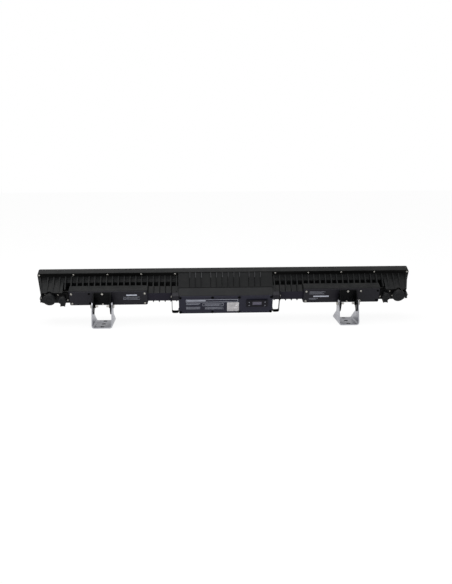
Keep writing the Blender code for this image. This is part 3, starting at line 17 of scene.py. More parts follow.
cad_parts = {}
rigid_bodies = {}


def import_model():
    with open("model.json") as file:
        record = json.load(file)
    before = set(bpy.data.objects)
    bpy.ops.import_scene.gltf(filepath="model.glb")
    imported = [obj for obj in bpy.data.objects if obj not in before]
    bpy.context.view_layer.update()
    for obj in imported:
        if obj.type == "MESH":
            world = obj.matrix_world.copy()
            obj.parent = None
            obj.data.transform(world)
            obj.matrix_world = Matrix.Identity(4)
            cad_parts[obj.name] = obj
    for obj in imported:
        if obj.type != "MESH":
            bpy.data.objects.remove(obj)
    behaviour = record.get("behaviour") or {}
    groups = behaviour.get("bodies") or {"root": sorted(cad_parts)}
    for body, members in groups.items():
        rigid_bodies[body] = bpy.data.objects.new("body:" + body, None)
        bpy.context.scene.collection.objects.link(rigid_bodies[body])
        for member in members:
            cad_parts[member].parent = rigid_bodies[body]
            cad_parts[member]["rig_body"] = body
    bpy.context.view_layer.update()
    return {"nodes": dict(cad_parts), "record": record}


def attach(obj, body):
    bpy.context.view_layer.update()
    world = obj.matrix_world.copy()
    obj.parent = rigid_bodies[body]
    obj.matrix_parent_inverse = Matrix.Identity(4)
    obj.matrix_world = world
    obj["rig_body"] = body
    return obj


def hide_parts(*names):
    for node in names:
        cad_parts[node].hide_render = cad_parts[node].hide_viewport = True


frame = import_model()

MM = 0.001


def mm(*lengths):
    """Several lengths in millimetres, as metres."""
    return tuple(length * MM for length in lengths)


# The tilted head's own directions, and its origin in the middle of the lip's rear face
HEAD_TILT = radians(24.5)
LIP_MIDDLE = Vector(mm(0.0, 23.4, 94.78))
REARWARDS = Vector((0.0, -cos(HEAD_TILT), -sin(HEAD_TILT)))
UPWARDS = Vector((0.0, -sin(HEAD_TILT), cos(HEAD_TILT)))
ALONG = Vector((1.0, 0.0, 0.0))
SIDES = ((-1, "left"), (1, "right"))
FAR = 200 * MM

# Rounded edges: which edges are rounded, what stays flat, and the radii
ROUNDED_ABOVE = radians(28)
SMOOTH_BELOW = radians(50)
FLAT_BELOW = radians(0.5)
MERGED_WITHIN = 0.002 * MM
CAST_EDGE = 0.5 * MM
CHANNEL_EDGE = 0.4 * MM
FLAP_EDGE = 0.35 * MM
SHEET_EDGE = 0.3 * MM
MOULDED_EDGE = 0.25 * MM
SMALL_EDGE = 0.2 * MM
CORNER_STEPS = 4

# Small screws: how many, where they sit, and the radius and height of each head
FRAME_SCREWS = 12
FRAME_SCREW_INSET = 5.2 * MM
COVER_SCREW_INSET = 6.2 * MM
COVER_BOLT_BESIDE = 35 * MM
PLATE_SCREW_INSET = 4.1 * MM
PLATE_SCREW_X = 35.5 * MM
FLANGE_SCREW_INSET = 3.0 * MM
LOOP_SCREW_HEIGHT = 4.5 * MM
LOOP_MIDDLE_DEPTH = 54.75 * MM
LOOP_OUTER = 144.15 * MM
SMALL_HEAD = mm(2.6, 1.7)
MEDIUM_HEAD = mm(2.9, 1.9)
WIDE_HEAD = mm(4.0, 2.0)
SCREW_TURN_SEED = 7

# A screw head's profile, and the reach and half width of its cross recess, as shares of its size
HEAD_PROFILE = ((0.97, 0.0), (1.0, 0.25), (0.93, 0.62), (0.78, 0.90), (0.66, 1.0))
RECESS_MOUTH = (0.62, 0.17)
RECESS_FLOOR = (0.40, 0.10)
RECESS_FLOOR_HEIGHT = 0.35
HEAD_SIDES = 32
HEAD_SMOOTH_BELOW = radians(40)

# Yokes: what counts as the wall of a hole in the base, painted dark as shade
HOLE_MARGIN = 6 * MM
BASE_TOP = 3 * MM
WALL_TURN = 0.9

# Light sources on the board
LIGHTS = 12
LIGHT_PITCH = 80 * MM
SOURCE_RADIUS = 2.7 * MM
SOURCE_CORNER = 1.2 * MM
SOURCE_STAND = 0.15 * MM
SOURCE_SUNK = 0.05 * MM

# Ribs in front of the control box, with a line of painted shade beside each and a painted highlight at its
# upper end, and the joint behind them
RIB_GROUPS = ((-79.4 * MM, 3), (0.0, 6), (79.4 * MM, 3))
RIB_PITCH = 15.5 * MM
RIB_WIDTH = 2.4 * MM
RIB_SHADE_WIDTH = 1.2 * MM
RIB_DEPTHS = mm(0.5, 33)
RIB_LINE_LIFT = 0.25 * MM
RIB_TICK = 0.8 * MM
RIB_TICK_END = 12 * MM
RIB_TICK_LIFT = 0.2 * MM
RIB_SUNK = 0.3 * MM
SEAM_WIDTH = 0.8 * MM
SEAM_BEFORE_BOX = 0.4 * MM
SEAM_LIFT = 0.1 * MM

# Fins over the spine, whose teeth hang under it, each lighter as a painted highlight with a strip of painted
# shade beside it
FIRST_TOOTH = 131 * MM
TEETH = 5
TOOTH_THICKNESS = 1.4 * MM
TOOTH_DEPTHS = mm(30, 44)
TOOTH_HEIGHTS = mm(-21, -13)
SPINE_RIB_STAND = 1.6 * MM
SPINE_RIB_SUNK = 0.5 * MM
SPINE_RIB_DEPTHS = mm(27.5, 46.5)
SPINE_RIB_SHADE = 2.4 * MM
SPINE_SHADE_LIFT = 0.2 * MM

# Where the casting changes its tone, seen from behind: painted reflection on the spine, painted shadow on
# the lip band and the bays
REAR_FACING = (0.80, 0.95)
LIP_SHADE = mm(0.2, 0.6)
SPINE_REFLECTION = mm(40, 44)
BAY_START = mm(413.5, 414.5)
LIP_SHADOW_COLOUR = (2, 2, 2)
BAY_SHADOW_COLOUR = (9, 9, 10)

# Dust, the blank display, and how far the small relief of each skin reaches
DUST_COLOUR = (116, 114, 110)
PANEL_GROUND = (74, 68, 92)
PANEL_LIGHTER = (86, 80, 106)
PANEL_DOT = (58, 53, 74)
PEBBLE_HEIGHT = 0.05 * MM
GRAIN_HEIGHT = 0.02 * MM
LENS_CELL_HEIGHT = 0.4 * MM

# Sockets: middle, height and shell radius on the right, mirrored on the left
SOCKETS = {"power": mm(465.5, -1.5, 13.5), "data": mm(432.0, -4.5, 7.8)}
SOCKET_WALL = 2.2 * MM
SOCKET_FACE = 51 * MM
SOCKET_FLOOR = 42 * MM
SOCKET_FLANGE_REAR = 39.5 * MM
FLANGE_HALF = mm(14.8, 12.0)
BORE_OVER = 1 * MM
BORE_SIDES = 40

# Contacts: how many, on how many seats, their radius, and their circle's share of the bore
CONTACTS = {"power": (3, 3, 1.5 * MM, 0.5), "data": (5, 6, 0.55 * MM, 0.6)}
CONTACT_SUNK = 3 * MM
CONTACT_SIDES = 12

# Rings moulded on the flaps: half widths at the foot and at the crest
FLAP_LIP = 3.0 * MM
OUTER_RING_INSET = 2.4 * MM
INNER_RING_SHARE = 0.52
RING_HALF = mm(0.9, 0.55)
RING_STAND = 0.7 * MM
RING_SUNK = 0.1 * MM
RING_STEPS = 40

# Blank prints: corners and left ends are (x, height) places, and line is how thick a line is
Field = namedtuple("Field", "low high line")
Lines = namedtuple("Lines", "lengths start pitch line")
PRINT_THICKNESS = 0.12 * MM
PLATE_SPOT = mm(20, -28)
PLATE_FIELDS = (Field(mm(-106, -11.5), mm(32, -3.0), 0.8 * MM),
                Field(mm(-62, -24), mm(-6, -15.5), 0.5 * MM))
PLATE_LINES = (Lines(mm(50, 50), mm(-104, -5.0), 2.2 * MM, 1.3 * MM),
               Lines(mm(38, 34), mm(-106, -15.5), 3.0 * MM, 0.7 * MM),
               Lines(mm(38, 36, 38), mm(-106, -27.5), 3.0 * MM, 0.6 * MM),
               Lines(mm(46, 40), mm(-57, -18.2), 2.8 * MM, 0.6 * MM),
               Lines(mm(50, 44, 50), mm(-56, -28.5), 2.8 * MM, 0.6 * MM))
LABEL_THICKNESS = 0.2 * MM
LABEL_CORNERS = (mm(3.5, -42), mm(35, -13.4))
LABEL_ROUNDING = 1.5 * MM
LABEL_FIELD = Field(mm(6, -39.5), mm(32.5, -16), 0.6 * MM)
LABEL_LINES = Lines(mm(21, 17, 21, 13, 21), mm(8.5, -19), 4.0 * MM, 1.0 * MM)
COVER_SPOT = 250 * MM
COVER_BARS = {"left": (mm(-263, 8.5), mm(-235, 12.5)), "right": (mm(234, -2.4), mm(276, 1.6))}
COVER_LINES = {"left": (Lines(mm(44, 38, 44), mm(-272, 4.5), 3.6 * MM, 0.5 * MM),),
               "right": (Lines(mm(43, 35, 40), mm(223, 14.7), 3.4 * MM, 0.5 * MM),
                         Lines(mm(24, 20), mm(223, -6.5), 3.0 * MM, 0.5 * MM))}

# Menu buttons with a dash on each, and the strip of painted shadow under the display bezel
BUTTONS = range(1, 5)
DASH_HALF = mm(1.2, 0.35)
BEZEL_SHADOW_STAND = 1.4 * MM
BEZEL_SHADOW_ASIDE = 0.4 * MM
BEZEL_SHADOW_THICKNESS = 0.5 * MM

# Floor, background and lamps: a lamp has its place, its width and its power
FLOOR_REACH = 6.0
FLOOR_GREY = 0.9
FLOOR_GLOW = 1.03
FLOOR_GLOW_SHARE = 0.9
FLOOR_MIRRORED = 0.75
WORLD_MIRRORED = 0.35
WORLD_RISE = 0.9
WORLD_STRENGTHS = (0.25, 0.7)
LAMP_TARGET = Vector((0.0, 0.0, 0.1))
LAMPS = {"overhead_panel": (Vector((-0.4, -0.3, 1.9)), 2.2, 24),
         "rear_fill": (Vector((-1.6, -1.8, 0.9)), 1.4, 6)}

# Photograph's frame and the camera that was fitted to it
PHOTO_HEIGHT = 584
FOCAL_PIXELS = 700
SENSOR_HEIGHT = 36
CAMERA_FROM_LIP = Vector(mm(-85.7, -1869.7, 362.6))
CAMERA_YAW = radians(2.705)
CAMERA_PITCH = radians(-11.5)
CAMERA_ROLL = radians(-0.127)


# Places

def on_head(x, depth, height):
    """A place of the tilted head, in the frame's own axes."""
    return LIP_MIDDLE + ALONG * x + REARWARDS * depth + UPWARDS * height


def head_box(node):
    """Lowest and highest (x, depth, height) of a CAD node on the tilted head."""
    spots = []
    for vertex in frame["nodes"][node].data.vertices:
        away = vertex.co - LIP_MIDDLE
        spots.append((away.dot(ALONG), away.dot(REARWARDS), away.dot(UPWARDS)))
    low = Vector([min(spot[i] for spot in spots) for i in range(3)])
    high = Vector([max(spot[i] for spot in spots) for i in range(3)])
    return low, high


def facing_rear(x, depth, height):
    """A place on a rear face, and the way in which that face looks."""
    return on_head(x, depth, height), REARWARDS


@lru_cache(maxsize=None)
def skin(node):
    """A CAD node's faces, ready to be met by a straight look."""
    mesh = frame["nodes"][node].data
    return BVHTree.FromPolygons([v.co for v in mesh.vertices], [tuple(p.vertices) for p in mesh.polygons])


def rear_depth(node, x, height):
    """How far back a CAD node's skin lies, looked at from behind."""
    place = skin(node).ray_cast(on_head(x, FAR, height), -REARWARDS)[0]
    return (place - LIP_MIDDLE).dot(REARWARDS)


def top_height(node, x, depth):
    """How high a CAD node's skin lies, looked at from above."""
    place = skin(node).ray_cast(on_head(x, depth, FAR), -UPWARDS)[0]
    return (place - LIP_MIDDLE).dot(UPWARDS)


# Meshes

def add(name, data):
    obj = bpy.data.objects.new(name, data)
    bpy.context.scene.collection.objects.link(obj)
    return obj


def mesh_of(name, bm):
    mesh = bpy.data.meshes.new(name)
    bmesh.ops.recalc_face_normals(bm, faces=bm.faces)
    bm.to_mesh(mesh)
    bm.free()
    return mesh


def applied(obj):
    """The object with its modifiers turned into plain mesh."""
    bpy.context.view_layer.update()
    seen = obj.evaluated_get(bpy.context.evaluated_depsgraph_get())
    mesh = bpy.data.meshes.new_from_object(seen)
    obj.modifiers.clear()
    obj.data = mesh
    mesh.name = obj.name
    return obj


def evened(obj):
    """Smooth rounded edges beside flat faces that stay flat."""
    obj.data.shade_smooth()
    obj.data.set_sharp_from_angle(angle=SMOOTH_BELOW)
    normals = obj.modifiers.new("even_faces", "WEIGHTED_NORMAL")
    normals.keep_sharp = True
    normals.weight = 100
    return applied(obj)


def rings(bm, rows, closed_ends=True):
    """Joins rows of vertices into a skin, each row a closed ring."""
    loops = [[bm.verts.new(point) for point in row] for row in rows]
    count = len(loops[0])
    for lower, upper in zip(loops, loops[1:]):
        for i in range(count):
            j = (i + 1) % count
            bm.faces.new((lower[i], lower[j], upper[j], upper[i]))
    if closed_ends:
        bm.faces.new(loops[0][::-1])
        bm.faces.new(loops[-1])


def circle(radius, height, sides, shape=None):
    """A ring about Z, round or with a radius that follows the angle."""
    points = []
    for i in range(sides):
        angle = 2 * pi * i / sides
        reach = shape(angle) if shape else radius
        points.append(Vector((reach * cos(angle), reach * sin(angle), height)))
    return points


def outline(low, high, corner):
    """A rectangle with round corners, as (x, height) points."""
    middles = ((high[0] - corner, high[1] - corner), (low[0] + corner, high[1] - corner),
               (low[0] + corner, low[1] + corner), (high[0] - corner, low[1] + corner))
    points = []
    for turn, (x, height) in enumerate(middles):
        for step in range(CORNER_STEPS + 1):
            angle = (turn + step / CORNER_STEPS) * pi / 2
            points.append((x + corner * cos(angle), height + corner * sin(angle)))
    return points


def prism(bm, points, near, far):
    """An outline of (x, height) points, run from one depth of the head to another."""
    rings(bm, [[on_head(x, depth, height) for x, height in points] for depth in (near, far)])


def drum(bm, x, height, radius, near, far, sides):
    """A round prism about a line that runs straight back."""
    points = [(x + point.x, height + point.y) for point in circle(radius, 0.0, sides)]
    prism(bm, points, near, far)


def block(bm, low, high, near, far):
    """A square-cornered prism between two (x, height) corners."""
    prism(bm, [low, (high[0], low[1]), high, (low[0], high[1])], near, far)


def border(bm, low, high, line, near, far):
    """Four strips round a blank field."""
    block(bm, (low[0], high[1] - line), high, near, far)
    block(bm, low, (high[0], low[1] + line), near, far)
    for x in (low[0], high[0] - line):
        block(bm, (x, low[1] + line), (x + line, high[1] - line), near, far)


def ruled(bm, lengths, start, pitch, line, near, far):
    """Fine lines under each other, each of its own length, from a common left end."""
    x, height = start
    for number, length in enumerate(lengths):
        top = height - pitch * number
        block(bm, (x, top - line), (x + length, top), near, far)


def piece(name, bm, finish, body="head"):
    """A finished mesh that rides a body."""
    obj = add(name, mesh_of(name, bm))
    obj.data.materials.append(FINISH[finish])
    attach(obj, body)
    return obj


def cross_recess(reach, width):
    """The radius of a cross shaped recess at an angle."""
    def radius(angle):
        turn = angle % (pi / 2)
        turn = min(turn, pi / 2 - turn)
        return min(reach / cos(turn), width / max(sin(turn), 0.001))
    return radius


def screw_head(name, radius, height):
    """A pan head with a cross recess, its seat at the origin and its top along +Z."""
    mouth = cross_recess(*(share * radius for share in RECESS_MOUTH))
    floor = cross_recess(*(share * radius for share in RECESS_FLOOR))
    rows = [circle(share * radius, rise * height, HEAD_SIDES) for share, rise in HEAD_PROFILE]
    rows.append(circle(0, height, HEAD_SIDES, mouth))
    rows.append(circle(0, RECESS_FLOOR_HEIGHT * height, HEAD_SIDES, floor))
    bm = bmesh.new()
    rings(bm, rows)
    obj = add(name, mesh_of(name, bm))
    obj.data.shade_smooth()
    obj.data.set_sharp_from_angle(angle=HEAD_SMOOTH_BELOW)
    return obj


def softened(node, radius, finish=None):
    """A copy of a CAD node with rounded edges, marked for wear, which stands in the node's place."""
    source = frame["nodes"][node]
    bm = bmesh.new()
    bm.from_mesh(source.data)
    bmesh.ops.remove_doubles(bm, verts=bm.verts, dist=MERGED_WITHIN)
    bmesh.ops.dissolve_limit(bm, angle_limit=FLAT_BELOW, verts=bm.verts, edges=bm.edges)
    sharp = [edge for edge in bm.edges if edge.is_manifold and edge.calc_face_angle() > ROUNDED_ABOVE]
    rounded = bmesh.ops.bevel(bm, geom=sharp, offset=radius, offset_type="OFFSET", segments=2,
                              profile=0.5, affect="EDGES", clamp_overlap=True)
    edge_mark = bm.loops.layers.float.new("edge")
    for face in rounded["faces"]:
        for loop in face.loops:
            loop[edge_mark] = 1.0
    mesh = bpy.data.meshes.new(node + "_finished")
    bm.to_mesh(mesh)
    bm.free()
    obj = evened(add(node + "_finished", mesh))
    obj.data.materials.clear()
    obj.data.materials.append(FINISH[finish] if finish else finish_of(SLOTS[node]))
    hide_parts(node)
    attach(obj, source["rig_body"])
    return obj


# Shader node groups that several finishes share

def shader_group(name, inputs, outputs):
    tree = bpy.data.node_groups.new(name, "ShaderNodeTree")
    for label, value in inputs:
        socket = tree.interface.new_socket(label, in_out="INPUT", socket_type="NodeSocketFloat")
        socket.default_value = value
    for label in outputs:
        tree.interface.new_socket(label, in_out="OUTPUT", socket_type="NodeSocketFloat")
    return tree, tree.nodes.new("NodeGroupInput"), tree.nodes.new("NodeGroupOutput")


def put(node, **values):
    """Sets inputs of a node by name, with a low line for each space."""
    for label, value in values.items():
        node.inputs[label.replace("_", " ")].default_value = value


def feed(tree, value, socket):
    """Gives an input a number, or links it to an output."""
    if isinstance(value, (int, float)):
        socket.default_value = value
    else:
        tree.links.new(value, socket)


def noise(tree, vector, scale, detail=3.0, roughness=0.5):
    node = tree.nodes.new("ShaderNodeTexNoise")
    put(node, Detail=detail, Roughness=roughness)
    tree.links.new(vector, node.inputs["Vector"])
    feed(tree, scale, node.inputs["Scale"])
    return node.outputs["Fac"]


def math(tree, operation, *values):
    node = tree.nodes.new("ShaderNodeMath")
    node.operation = operation
    for socket, value in zip(node.inputs, values):
        feed(tree, value, socket)
    return node.outputs["Value"]


def spread(tree, value, low, high, to_low=0.0, to_high=1.0):
    """Stretches a value from one range to another and stops at its ends."""
    node = tree.nodes.new("ShaderNodeMapRange")
    put(node, From_Min=low, From_Max=high, To_Min=to_low, To_Max=to_high)
    tree.links.new(value, node.inputs["Value"])
    return node.outputs["Result"]


def object_coordinates(tree):
    return tree.nodes.new("ShaderNodeTexCoord").outputs["Object"]


def surface_normal(tree):
    return tree.nodes.new("ShaderNodeNewGeometry").outputs["Normal"]


def axis_of(tree, vector, axis):
    """One of a vector's three numbers."""
    node = tree.nodes.new("ShaderNodeSeparateXYZ")
    tree.links.new(vector, node.inputs["Vector"])
    return node.outputs[axis]


def rearward_part(tree, vector):
    """How much of a vector runs straight back from the tilted head."""
    node = tree.nodes.new("ShaderNodeVectorMath")
    node.operation = "DOT_PRODUCT"
    tree.links.new(vector, node.inputs[0])
    node.inputs[1].default_value = REARWARDS
    return node.outputs["Value"]


def cell_distance(tree, scale, randomness):
    """The distance from the middle of each cell in a pattern of cells."""
    node = tree.nodes.new("ShaderNodeTexVoronoi")
    put(node, Scale=scale, Randomness=randomness)
    tree.links.new(object_coordinates(tree), node.inputs["Vector"])
    return node.outputs["Distance"]


def powder_coat_group():
    """Fine pebbled skin of a baked powder coat, with slow patches that are a little lighter."""
    tree, given, made = shader_group("powder_coat", (("Pebble Scale", 900.0), ("Patch Scale", 14.0)),
                                     ("Pebble", "Patch"))
    where = object_coordinates(tree)
    pebble = noise(tree, where, given.outputs["Pebble Scale"], 2.0, 0.55)
    patch = noise(tree, where, given.outputs["Patch Scale"], 4.0, 0.6)
    tree.links.new(spread(tree, pebble, 0.25, 0.75), made.inputs["Pebble"])
    tree.links.new(spread(tree, patch, 0.3, 0.7), made.inputs["Patch"])
    return tree


def dust_group():
    """Dust that settles on what looks upwards, in an uneven layer."""
    tree, given, made = shader_group("settled_dust", (("Amount", 0.3), ("Scale", 40.0)), ("Dust",))
    where = object_coordinates(tree)
    upward = spread(tree, axis_of(tree, surface_normal(tree), "Z"), 0.15, 0.95)
    coarse = spread(tree, noise(tree, where, given.outputs["Scale"], 5.0, 0.65), 0.38, 0.72)
    fine = spread(tree, noise(tree, where, 700.0, 2.0), 0.35, 0.65, 0.55, 1.0)
    layer = math(tree, "MULTIPLY", math(tree, "MULTIPLY", upward, coarse), fine)
    tree.links.new(math(tree, "MULTIPLY", layer, given.outputs["Amount"]), made.inputs["Dust"])
    return tree


def wear_group():
    """Rubbed edges: broken along the rounded edges that the mesh marks."""
    tree, given, made = shader_group("rubbed_edges", (("Amount", 0.5), ("Scale", 160.0)), ("Wear",))
    mark = tree.nodes.new("ShaderNodeAttribute")
    mark.attribute_name = "edge"
    where = object_coordinates(tree)
    broken = spread(tree, noise(tree, where, given.outputs["Scale"], 4.0, 0.7), 0.42, 0.66)
    worn = math(tree, "MULTIPLY", mark.outputs["Fac"], broken)
    tree.links.new(math(tree, "MULTIPLY", worn, given.outputs["Amount"]), made.inputs["Wear"])
    return tree


def brushed_group():
    """Fine grain that runs along one axis, with handling smudges over it."""
    tree, given, made = shader_group("brushed_grain", (("Across X", 900.0), ("Across Y", 40.0),
                                                       ("Across Z", 900.0)), ("Grain", "Smudge"))
    where = object_coordinates(tree)
    stretch = tree.nodes.new("ShaderNodeVectorMath")
    stretch.operation = "MULTIPLY"
    join = tree.nodes.new("ShaderNodeCombineXYZ")
    for axis in "XYZ":
        tree.links.new(given.outputs["Across " + axis], join.inputs[axis])
    tree.links.new(where, stretch.inputs[0])
    tree.links.new(join.outputs["Vector"], stretch.inputs[1])
    grain = noise(tree, stretch.outputs["Vector"], 1.0, 3.0, 0.6)
    smudge = noise(tree, where, 28.0, 4.0, 0.6)
    tree.links.new(spread(tree, grain, 0.3, 0.7), made.inputs["Grain"])
    tree.links.new(spread(tree, smudge, 0.35, 0.7), made.inputs["Smudge"])
    return tree


POWDER_COAT = powder_coat_group()
SETTLED_DUST = dust_group()
RUBBED_EDGES = wear_group()
BRUSHED_GRAIN = brushed_group()


# Finishes

def linear(colour):
    """Linear light of a colour that is written as it is seen, 0 to 255."""
    light = []
    for value in colour:
        share = value / 255
        light.append(share / 12.92 if share <= 0.04045 else ((share + 0.055) / 1.055) ** 2.4)
    return light + [1.0]


def toned(colour, times, more=0):
    """A lighter or darker colour."""
    return [min(255, times * value + more) for value in colour]


def place_group(tree, group, **values):
    node = tree.nodes.new("ShaderNodeGroup")
    node.node_tree = group
    put(node, **values)
    return node.outputs


def mixed(tree, share, first, second):
    """A colour between two others, each a socket or a colour as it is seen."""
    node = tree.nodes.new("ShaderNodeMix")
    node.data_type = "RGBA"
    tree.links.new(share, node.inputs["Factor"])
    for socket, colour in ((node.inputs[6], first), (node.inputs[7], second)):
        if isinstance(colour, (tuple, list)):
            socket.default_value = linear(colour)
        else:
            tree.links.new(colour, socket)
    return node.outputs[2]


def shader(name):
    """A new material with its node tree and its Principled shader."""
    material = bpy.data.materials.new(name)
    material.use_nodes = True
    tree = material.node_tree
    return material, tree, tree.nodes["Principled BSDF"]


def bumped(tree, shade, height, strength, distance):
    bump = tree.nodes.new("ShaderNodeBump")
    put(bump, Strength=strength, Distance=distance)
    tree.links.new(height, bump.inputs["Height"])
    tree.links.new(bump.outputs["Normal"], shade.inputs["Normal"])


def roughened(tree, shade, share, low, high):
    """A roughness that goes from one value to another with a share."""
    tree.links.new(spread(tree, share, 0.0, 1.0, low, high), shade.inputs["Roughness"])


def looking_back(tree):
    """One on faces that look straight back from the tilted head."""
    return spread(tree, rearward_part(tree, surface_normal(tree)), *REAR_FACING)


def behind(tree, near, far):
    """Rises from nought to one between two depths of the head."""
    start = LIP_MIDDLE.dot(REARWARDS)
    return spread(tree, rearward_part(tree, object_coordinates(tree)), start + near, start + far)


def past_boxes(tree):
    """Rises from nought to one at the outer ends of the driver boxes."""
    from_middle = math(tree, "ABSOLUTE", axis_of(tree, object_coordinates(tree), "X"))
    return spread(tree, from_middle, *BAY_START)


def painted(name, colour, lighter, roughness, gloss, dust, wear, pebble=900.0, relief=0.5, rear_reflection=None):
    """Powder coated metal or moulded plastic: pebbled, patchy, dusty on top and rubbed at its edges."""
    material, tree, shade = shader(name)
    coat = place_group(tree, POWDER_COAT, Pebble_Scale=pebble)
    edge = place_group(tree, RUBBED_EDGES, Amount=wear)
    layer = place_group(tree, SETTLED_DUST, Amount=dust)
    ground = mixed(tree, coat["Patch"], colour, lighter)
    # A rear colour brings painted light: a reflection tint on the spine's rear faces, and painted shadow on
    # the bays and on the lip band under the flange
    if rear_reflection:
        back = looking_back(tree)
        # Painted reflection: the spine's rear faces tinted violet
        spine_reflection = math(tree, "MULTIPLY", back, behind(tree, *SPINE_REFLECTION))
        ground = mixed(tree, spine_reflection, ground, rear_reflection)
        # Painted shadow: rear faces past the driver boxes, under the brow over the sockets
        bay_shadow = math(tree, "MULTIPLY", back, past_boxes(tree))
        ground = mixed(tree, bay_shadow, ground, BAY_SHADOW_COLOUR)
        # Painted shadow: the lip band's rear face under the flange
        lip_shadow = math(tree, "MULTIPLY", back, math(tree, "SUBTRACT", 1.0, behind(tree, *LIP_SHADE)))
        ground = mixed(tree, lip_shadow, ground, LIP_SHADOW_COLOUR)
    rubbed = mixed(tree, edge["Wear"], ground, toned(lighter, 1.6, 30))
    dusted = mixed(tree, layer["Dust"], rubbed, DUST_COLOUR)
    tree.links.new(dusted, shade.inputs["Base Color"])
    rough = spread(tree, coat["Patch"], 0.0, 1.0, roughness - 0.05, roughness + 0.07)
    worn = math(tree, "SUBTRACT", rough, math(tree, "MULTIPLY", edge["Wear"], 0.15))
    tree.links.new(math(tree, "ADD", worn, math(tree, "MULTIPLY", layer["Dust"], 0.4)),
                   shade.inputs["Roughness"])
    put(shade, Specular_IOR_Level=gloss)
    bumped(tree, shade, coat["Pebble"], relief, PEBBLE_HEIGHT)
    return material


def brushed(name, colour, darker, roughness, grain, wear):
    """Bare metal with a grain, smudges and bright rubbed edges."""
    material, tree, shade = shader(name)
    lines = place_group(tree, BRUSHED_GRAIN, Across_X=grain[0], Across_Y=grain[1], Across_Z=grain[2])
    edge = place_group(tree, RUBBED_EDGES, Amount=wear)
    ground = mixed(tree, lines["Grain"], colour, darker)
    smudged = mixed(tree, math(tree, "MULTIPLY", lines["Smudge"], 0.35), ground, darker)
    bright = mixed(tree, edge["Wear"], smudged, toned(colour, 1.15))
    tree.links.new(bright, shade.inputs["Base Color"])
    roughened(tree, shade, lines["Smudge"], roughness - 0.04, roughness + 0.10)
    put(shade, Metallic=1.0)
    bumped(tree, shade, lines["Grain"], 0.25, GRAIN_HEIGHT)
    return material


def clear(name, colour, roughness):
    """Glass or clear plastic with faint dust on it."""
    material, tree, shade = shader(name)
    coat = place_group(tree, POWDER_COAT, Pebble_Scale=60.0, Patch_Scale=9.0)
    roughened(tree, shade, coat["Patch"], roughness, roughness + 0.04)
    put(shade, Base_Color=linear(colour), Transmission_Weight=1.0, IOR=1.46)
    return material


def diffusing_lens(name):
    """Clear plastic whose face carries a honeycomb of small lenses."""
    material, tree, shade = shader(name)
    put(shade, Base_Color=linear((238, 240, 242)), Transmission_Weight=1.0, IOR=1.49)
    coat = place_group(tree, POWDER_COAT, Pebble_Scale=200.0)
    roughened(tree, shade, coat["Patch"], 0.10, 0.16)
    bumped(tree, shade, cell_distance(tree, 420.0, 0.25), 0.6, LENS_CELL_HEIGHT)
    return material


def display_glass(name):
    """A blank liquid crystal panel under its window: fine dots over a lilac ground."""
    material, tree, shade = shader(name)
    coat = place_group(tree, POWDER_COAT, Pebble_Scale=300.0, Patch_Scale=60.0)
    cell = spread(tree, cell_distance(tree, 2400.0, 0.0), 0.35, 0.5)
    ground = mixed(tree, coat["Patch"], PANEL_GROUND, PANEL_LIGHTER)
    tree.links.new(mixed(tree, cell, ground, PANEL_DOT), shade.inputs["Base Color"])
    roughened(tree, shade, coat["Patch"], 0.12, 0.2)
    put(shade, Coat_Weight=0.6)
    return material


def printed(name, colour, roughness=0.5):
    """Pale screen print or a label, with a slight fleck."""
    material, tree, shade = shader(name)
    coat = place_group(tree, POWDER_COAT, Pebble_Scale=1400.0, Patch_Scale=90.0)
    darker = toned(colour, 0.86)
    tree.links.new(mixed(tree, coat["Patch"], colour, darker), shade.inputs["Base Color"])
    roughened(tree, shade, coat["Pebble"], roughness - 0.06, roughness + 0.06)
    bumped(tree, shade, coat["Pebble"], 0.2, GRAIN_HEIGHT)
    return material
